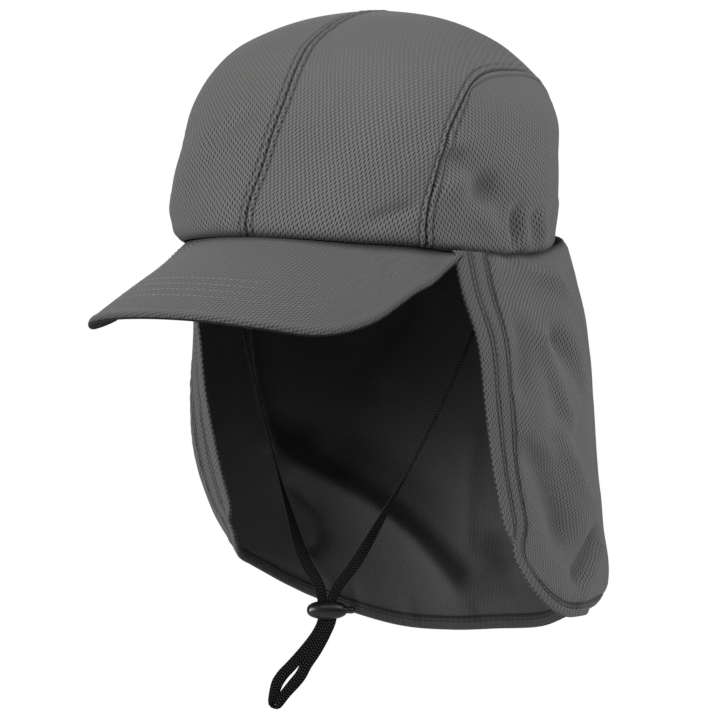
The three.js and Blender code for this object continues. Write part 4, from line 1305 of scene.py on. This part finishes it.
def knit(name, level, lean, contrast=0.8, size=1.0):
    g = Graph(name, Roughness=0.95, Sheen_Weight=0.10, Sheen_Roughness=0.5, Specular_IOR_Level=0.15)
    u, v = g.uv("cut")
    c, s = math.cos(math.radians(lean)), math.sin(math.radians(lean))
    drift = (g.noise(DRIFT["scale"], 1) - 0.5) * DRIFT["across"]
    x, y = u * c + v * s + drift, v * c - u * s + drift * DRIFT["along"]
    holes = []
    for shift in (0, 0.5):
        column, row = x / (EYELET["across"] * size) + shift, y / (EYELET["along"] * size) + shift
        across, along = column.math("FRACT", column) - 0.5, row.math("FRACT", row) - 0.5
        dx, dy = across * (EYELET["across"] / EYELET["wide"]), along * (EYELET["along"] / EYELET["long"])
        holes.append(dx * dx + dy * dy)
    near = holes[0].math("MINIMUM", holes[0], holes[1])
    height_up = Wire(g, g.object_place().socket.node.outputs[2])
    stretched = g.step(height_up, *SMOOTH_TOP) * HOLE["closed"]
    hole = (1 - g.step(near, *HOLE["edge"])) * (1 - stretched)
    yarn, cloudy = g.noise(NOISE["yarn"], 2), g.noise(NOISE["cloud"], 3)
    inside, crease = g.attribute("inside"), g.attribute("crease")
    # the inner face: its darker colour with painted shade, and more painted shade higher up inside the cap
    deep = INSIDE["dark"] + g.step(height_up, *INSIDE["heights"]) * INSIDE["more"]
    shade = SHADE["plain"] + yarn * SHADE["yarn"] + cloudy * SHADE["cloud"]
    shade = shade * (1 - hole * contrast * (1 - inside * INSIDE["eyelets"]))
    # painted shade: the inner face, and the seams, rims, strip edges and fold bottoms carried by the
    # attribute, darken the colour
    shade = shade * (1 - inside * deep) * (1 - crease * SHADE["crease"]) * (1 - stretched * SHADE["smooth"])
    g.link(g.mix(shade, (0, 0, 0, 1), grey(level, WARM)), "Base Color")
    height = yarn * KNIT_BUMP["yarn"] - hole * KNIT_BUMP["hole"]
    g.link(g.bump(height, KNIT_BUMP["strength"]), "Normal")
    return g.material


materials = {
    "crown_knit": knit("crown_knit", 0.188, -16),
    "side_knit": knit("side_knit", 0.186, 20),
    "peak_knit": knit("peak_knit", 0.182, -38, 0.8),
    "flap_knit": knit("flap_knit", 0.180, 16, 0.8, 0.85),
    "binding_knit": knit("binding_knit", 0.164, 0, 0.7, 0.85),
}

# %% [markdown]
# ## Braid and plastic
# The braid is black polyester: plaits that slant from both edges to the middle, with a thin painted
# highlight where each catches the light. The lock is black moulded plastic with a soft gloss.


# %% Braid and plastic materials
LOOP_PITCH = 0.9
# where the painted highlight lies, along each plait and across each loop
PLAIT_BAND = ((0.15, 0.5), (0.55, 0.9))
LOOP_BAND = ((0.1, 0.45), (0.6, 0.9))


def braid(name):
    g = Graph(name, Roughness=0.85, Specular_IOR_Level=0.06)
    across, run = g.uv("braid")
    slant = (run + abs(across) * PLAIT["slant"]) / PLAIT["pitch"]
    plait, loop = slant.math("FRACT", slant), across / LOOP_PITCH
    loop = loop.math("FRACT", loop)
    # painted highlight: a light line on each plait where it catches the light
    painted_highlight = g.band(plait, *PLAIT_BAND) * g.band(loop, *LOOP_BAND)
    g.link(g.mix(painted_highlight, (0.0012, 0.0012, 0.0014, 1), (0.055, 0.055, 0.058, 1)), "Base Color")
    g.link(g.bump(painted_highlight * 0.10, 0.8), "Normal")
    return g.material


def plastic(name):
    g = Graph(name, Specular_IOR_Level=0.5)
    wear = g.noise(400, 3)
    g.link(g.mix(wear, (0.006, 0.006, 0.0065, 1), (0.011, 0.011, 0.012, 1)), "Base Color")
    g.link(0.26 + wear * 0.14, "Roughness")
    g.link(g.bump(g.noise(2600, 1) * 0.01, 0.4), "Normal")
    return g.material


def thread(name, level, faded):
    g = Graph(name, Roughness=0.6, Sheen_Weight=0.1)
    # the thread's colour turns to the faded grey towards the wearer's left
    twist, fade_to_left = g.noise(2400, 1), g.step(g.object_place(), *THREAD_FADE)
    g.link(g.mix(fade_to_left, g.mix(twist, grey(level * 0.7), grey(level * 1.3)), grey(faded)), "Base Color")
    return g.material


materials["cord_braid"] = braid("cord_braid")
materials["lock_plastic"] = plastic("lock_plastic")
# the peak's thread stands out less towards the wearer's left, between these places
THREAD_FADE = (0.010, 0.045)
# the seam thread is painted near black for the shade in the dimples its stitches press into the knit; the
# peak's thread is light grey
THREADS = {"dark": thread("seam_thread_painted_shade", 0.035, 0.035), "light": thread("peak_thread", 0.29, 0.175)}

# %% [markdown]
# ## Stitches
# A row of stitches is one short oval repeated along a line on the cloth. Geometry Nodes do that:
# the line's points carry the direction that the cloth faces, and each oval is turned to lie flat
# on it.


# %% Stitch tree
def stitch_tree():
    tree = bpy.data.node_groups.new("stitches", "GeometryNodeTree")
    face = tree.interface
    face.new_socket("Geometry", in_out="INPUT", socket_type="NodeSocketGeometry")
    for size in ("Pitch", "Length", "Width", "Height"):
        face.new_socket(size, in_out="INPUT", socket_type="NodeSocketFloat")
    face.new_socket("Material", in_out="INPUT", socket_type="NodeSocketMaterial")
    face.new_socket("Geometry", in_out="OUTPUT", socket_type="NodeSocketGeometry")
    new = tree.nodes.new
    given, done = new("NodeGroupInput"), new("NodeGroupOutput")
    curve, resample = new("GeometryNodeMeshToCurve"), new("GeometryNodeResampleCurve")
    resample.mode = "LENGTH"
    oval, size = new("GeometryNodeMeshUVSphere"), new("ShaderNodeCombineXYZ")
    oval.inputs["Segments"].default_value, oval.inputs["Rings"].default_value = 6, 4
    oval.inputs["Radius"].default_value = 0.5
    scaled, place = new("GeometryNodeTransform"), new("GeometryNodeInstanceOnPoints")
    faces, along, turn = (new("GeometryNodeInputNamedAttribute"), new("GeometryNodeInputTangent"),
                          new("FunctionNodeAxesToRotation"))
    faces.data_type = "FLOAT_VECTOR"
    faces.inputs["Name"].default_value = "facing"
    turn.primary_axis, turn.secondary_axis = "Z", "X"
    realize, paint = new("GeometryNodeRealizeInstances"), new("GeometryNodeSetMaterial")
    smooth = new("GeometryNodeSetShadeSmooth")
    wires = (
        (given, "Geometry", curve, "Mesh"), (curve, "Curve", resample, "Curve"),
        (given, "Pitch", resample, "Length"), (given, "Length", size, "X"), (given, "Width", size, "Y"),
        (given, "Height", size, "Z"), (oval, "Mesh", scaled, "Geometry"), (size, "Vector", scaled, "Scale"),
        (resample, "Curve", place, "Points"), (scaled, "Geometry", place, "Instance"),
        (faces, "Attribute", turn, "Primary Axis"), (along, "Tangent", turn, "Secondary Axis"),
        (turn, "Rotation", place, "Rotation"), (place, "Instances", smooth, "Geometry"),
        (smooth, "Geometry", realize, "Geometry"), (realize, "Geometry", paint, "Geometry"),
        (given, "Material", paint, "Material"), (paint, "Geometry", done, "Geometry"),
    )
    for source, out, target, socket in wires:
        tree.links.new(source.outputs[out], target.inputs[socket])
    return tree


STITCHES = stitch_tree()


def set_input(modifier, name, value):
    socket = next(item for item in modifier.node_group.interface.items_tree
                  if item.name == name and item.in_out == "INPUT")
    modifier[socket.identifier] = value


def line_at(form, border, distance, skip=0.0):
    """The line on a form's outer face at a distance from one border, and where the cloth faces."""
    across = border in ("left", "right")
    points, facing, walk = form["outer"], form["normal"], form[border]
    if not across:
        points, facing, walk = (np.swapaxes(k, 0, 1) for k in (points, facing, walk))
    line, faces = [], []
    for row, face, walked in zip(points, facing, walk):
        order = np.argsort(walked)
        line.append([np.interp(distance, walked[order], row[order, k]) for k in range(3)])
        faces.append([np.interp(distance, walked[order], face[order, k]) for k in range(3)])
    keep = slice(int(skip), len(line) - int(skip))
    return np.array(line)[keep], np.array(faces)[keep]


def sew(name, lines, material, pitch, length, width, height, sink=0.1):
    """One piece of thread made of rows of stitches along lines on the cloth."""
    vertices, edges, facings = [], [], []
    for line, facing in lines:
        start = len(vertices)
        vertices += ((line - facing * sink) * MM).tolist()
        edges += [(start + k, start + k + 1) for k in range(len(line) - 1)]
        facings += facing.tolist()
    piece = rough_piece(name, vertices, [], edges)
    layer = piece.data.attributes.new("facing", "FLOAT_VECTOR", "POINT")
    layer.data.foreach_set("vector", np.ravel(facings))
    modifier = piece.modifiers.new("stitches", "NODES")
    modifier.node_group = STITCHES
    for socket, value in (("Pitch", pitch), ("Length", length), ("Width", width), ("Height", height)):
        set_input(modifier, socket, value * MM)
    set_input(modifier, "Material", material)
    apply_modifiers(piece)
    layer = piece.data.attributes.get("facing")
    if layer:
        piece.data.attributes.remove(layer)
    print(name, len(piece.data.polygons), "faces")
    return piece


# %% Rows of stitches
SEAM_STITCH = {"pitch": 3.0, "length": 1.8, "width": 0.6, "height": 0.35}
EDGE_STITCH = {"pitch": 2.4, "length": 1.9, "width": 0.4, "height": 0.3}
PEAK_STITCH = {"pitch": 2.9, "length": 2.2, "width": 0.42, "height": 0.35}
PEAK_ROWS = (18, 23.3, 28.6, 34)
PEAK_CLEAR = 5
STRIP_INSETS = (4.5, 5.7)
STRIPS = ("flap_binding", "edge_strip_left", "edge_strip_right")
threads = {}
for word in ("left", "right"):
    for kind, sides in (("top", ("left", "right")), ("side", ("left", "right", "top"))):
        rows = [line_at(forms[f"{kind}_panel_{word}"], side, STITCH_ROW, 2) for side in sides]
        name = f"{kind}_stitches_{word}"
        threads[name] = sew(name, rows, THREADS["dark"], **SEAM_STITCH)


def strip_rows(node, skip=2):
    form = forms[node]
    rows = []
    for inset in STRIP_INSETS:
        at = round(inset / STRIP_WIDE * (len(form["across"]) - 1))
        rows.append((form["outer"][at, skip:-skip], form["normal"][at, skip:-skip]))
    return rows


for node in STRIPS:
    threads[f"{node}_stitches"] = sew(f"{node}_stitches", strip_rows(node), THREADS["dark"], **EDGE_STITCH)


def peak_row(distance):
    """A row round the peak at a distance from its edge, where the peak is deep enough for it."""
    line, facing = line_at(peak_form, "run", distance)
    deep = peak_form["run"][0] > distance + PEAK_CLEAR
    return line[deep], facing[deep]


rows = [peak_row(distance) for distance in PEAK_ROWS]
threads["peak_stitches"] = sew("peak_stitches", rows, THREADS["light"], sink=0.0, **PEAK_STITCH)

# %% [markdown]
# ## Dressing the frame
# Each piece now rides on its body, stands for its CAD node and takes its finish from a slot.

# %% Bodies, nodes and finishes
FINISH = {
    "top_panel_left": "crown_knit", "top_panel_right": "crown_knit", "side_panel_left": "side_knit",
    "side_panel_right": "side_knit", "peak": "peak_knit", "neck_flap": "flap_knit",
    "flap_binding": "binding_knit", "edge_strip_left": "binding_knit", "edge_strip_right": "binding_knit",
    "chin_cord": "cord_braid", "cord_lock": "lock_plastic", "lock_button": "lock_plastic",
}
for node, slot in FINISH.items():
    pieces[node].data.materials.clear()
    pieces[node].data.materials.append(materials[slot])
    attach(pieces[node], "button" if node == "lock_button" else "cap")
    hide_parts(node)
for name, piece in threads.items():
    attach(piece, "cap")

tuple(cord_centre[0] * MM)
cord_length * MM
[tuple(p) for p in cord_centre * MM]
strips = [pieces[node] for node in STRIPS]
edging = [threads[f"{node}_stitches"] for node in STRIPS]
strips + edging

# %% [markdown]
# ## Studio
# A product photo like this one has soft light from a large source ahead and above, a weak fill
# from the other side, and a white ground. The world looks white to the camera but lights the
# cap only weakly, so that the folds have shape and the hollow inside stays dark.

# %% Floor and lights
FLOOR = {"height": -0.40, "half": 0.6}
AMBIENT = 0.07
LIGHTS = table(
    "azimuth elevation distance size power",
    (-16, 10, 2.2, 1.0, 34),
    (80, 35, 0.75, 0.5, 2.3),
    (138, 15, 1.6, 0.8, 10),
    (-115, 25, 1.8, 1.0, 9),
    (28, 38, 0.9, 0.22, 0.8),
)


def make_floor():
    g = Graph("studio_floor", Roughness=0.9)
    g.link(g.mix(g.noise(3, 2), (0.90, 0.90, 0.90, 1), (0.93, 0.93, 0.93, 1)), "Base Color")
    half, height = FLOOR["half"], FLOOR["height"]
    corners = [(-half, -half, height), (half, -half, height), (half, half, height), (-half, half, height)]
    floor = rough_piece("studio_floor", corners, [[0, 1, 2, 3]])
    floor.data.materials.append(g.material)


def make_light(name, place, size, power):
    data = bpy.data.lights.new(name, "AREA")
    data.size, data.energy = size, power
    light = add_object(name, data)
    light.location = place
    light.rotation_euler = (place - TARGET).to_track_quat("Z", "Y").to_euler()


def make_world():
    world = bpy.data.worlds.new("studio")
    world.use_nodes = True
    nodes, links = world.node_tree.nodes, world.node_tree.links
    seen, rays = nodes["Background"], nodes.new("ShaderNodeLightPath")
    lit, choose = nodes.new("ShaderNodeBackground"), nodes.new("ShaderNodeMixShader")
    seen.inputs["Color"].default_value = lit.inputs["Color"].default_value = (1, 1, 1, 1)
    lit.inputs["Strength"].default_value = AMBIENT
    links.new(rays.outputs["Is Camera Ray"], choose.inputs[0])
    links.new(lit.outputs[0], choose.inputs[1])
    links.new(seen.outputs[0], choose.inputs[2])
    links.new(choose.outputs[0], nodes["World Output"].inputs["Surface"])
    bpy.context.scene.world = world


make_floor()
make_world()
for number, (azimuth, elevation, distance, size, power) in enumerate(zip(*LIGHTS.values())):
    place = TARGET + toward(azimuth, elevation) * distance
    make_light(f"softbox_{number + 1}", place, size, power)
bpy.context.scene.view_settings.view_transform = "Standard"
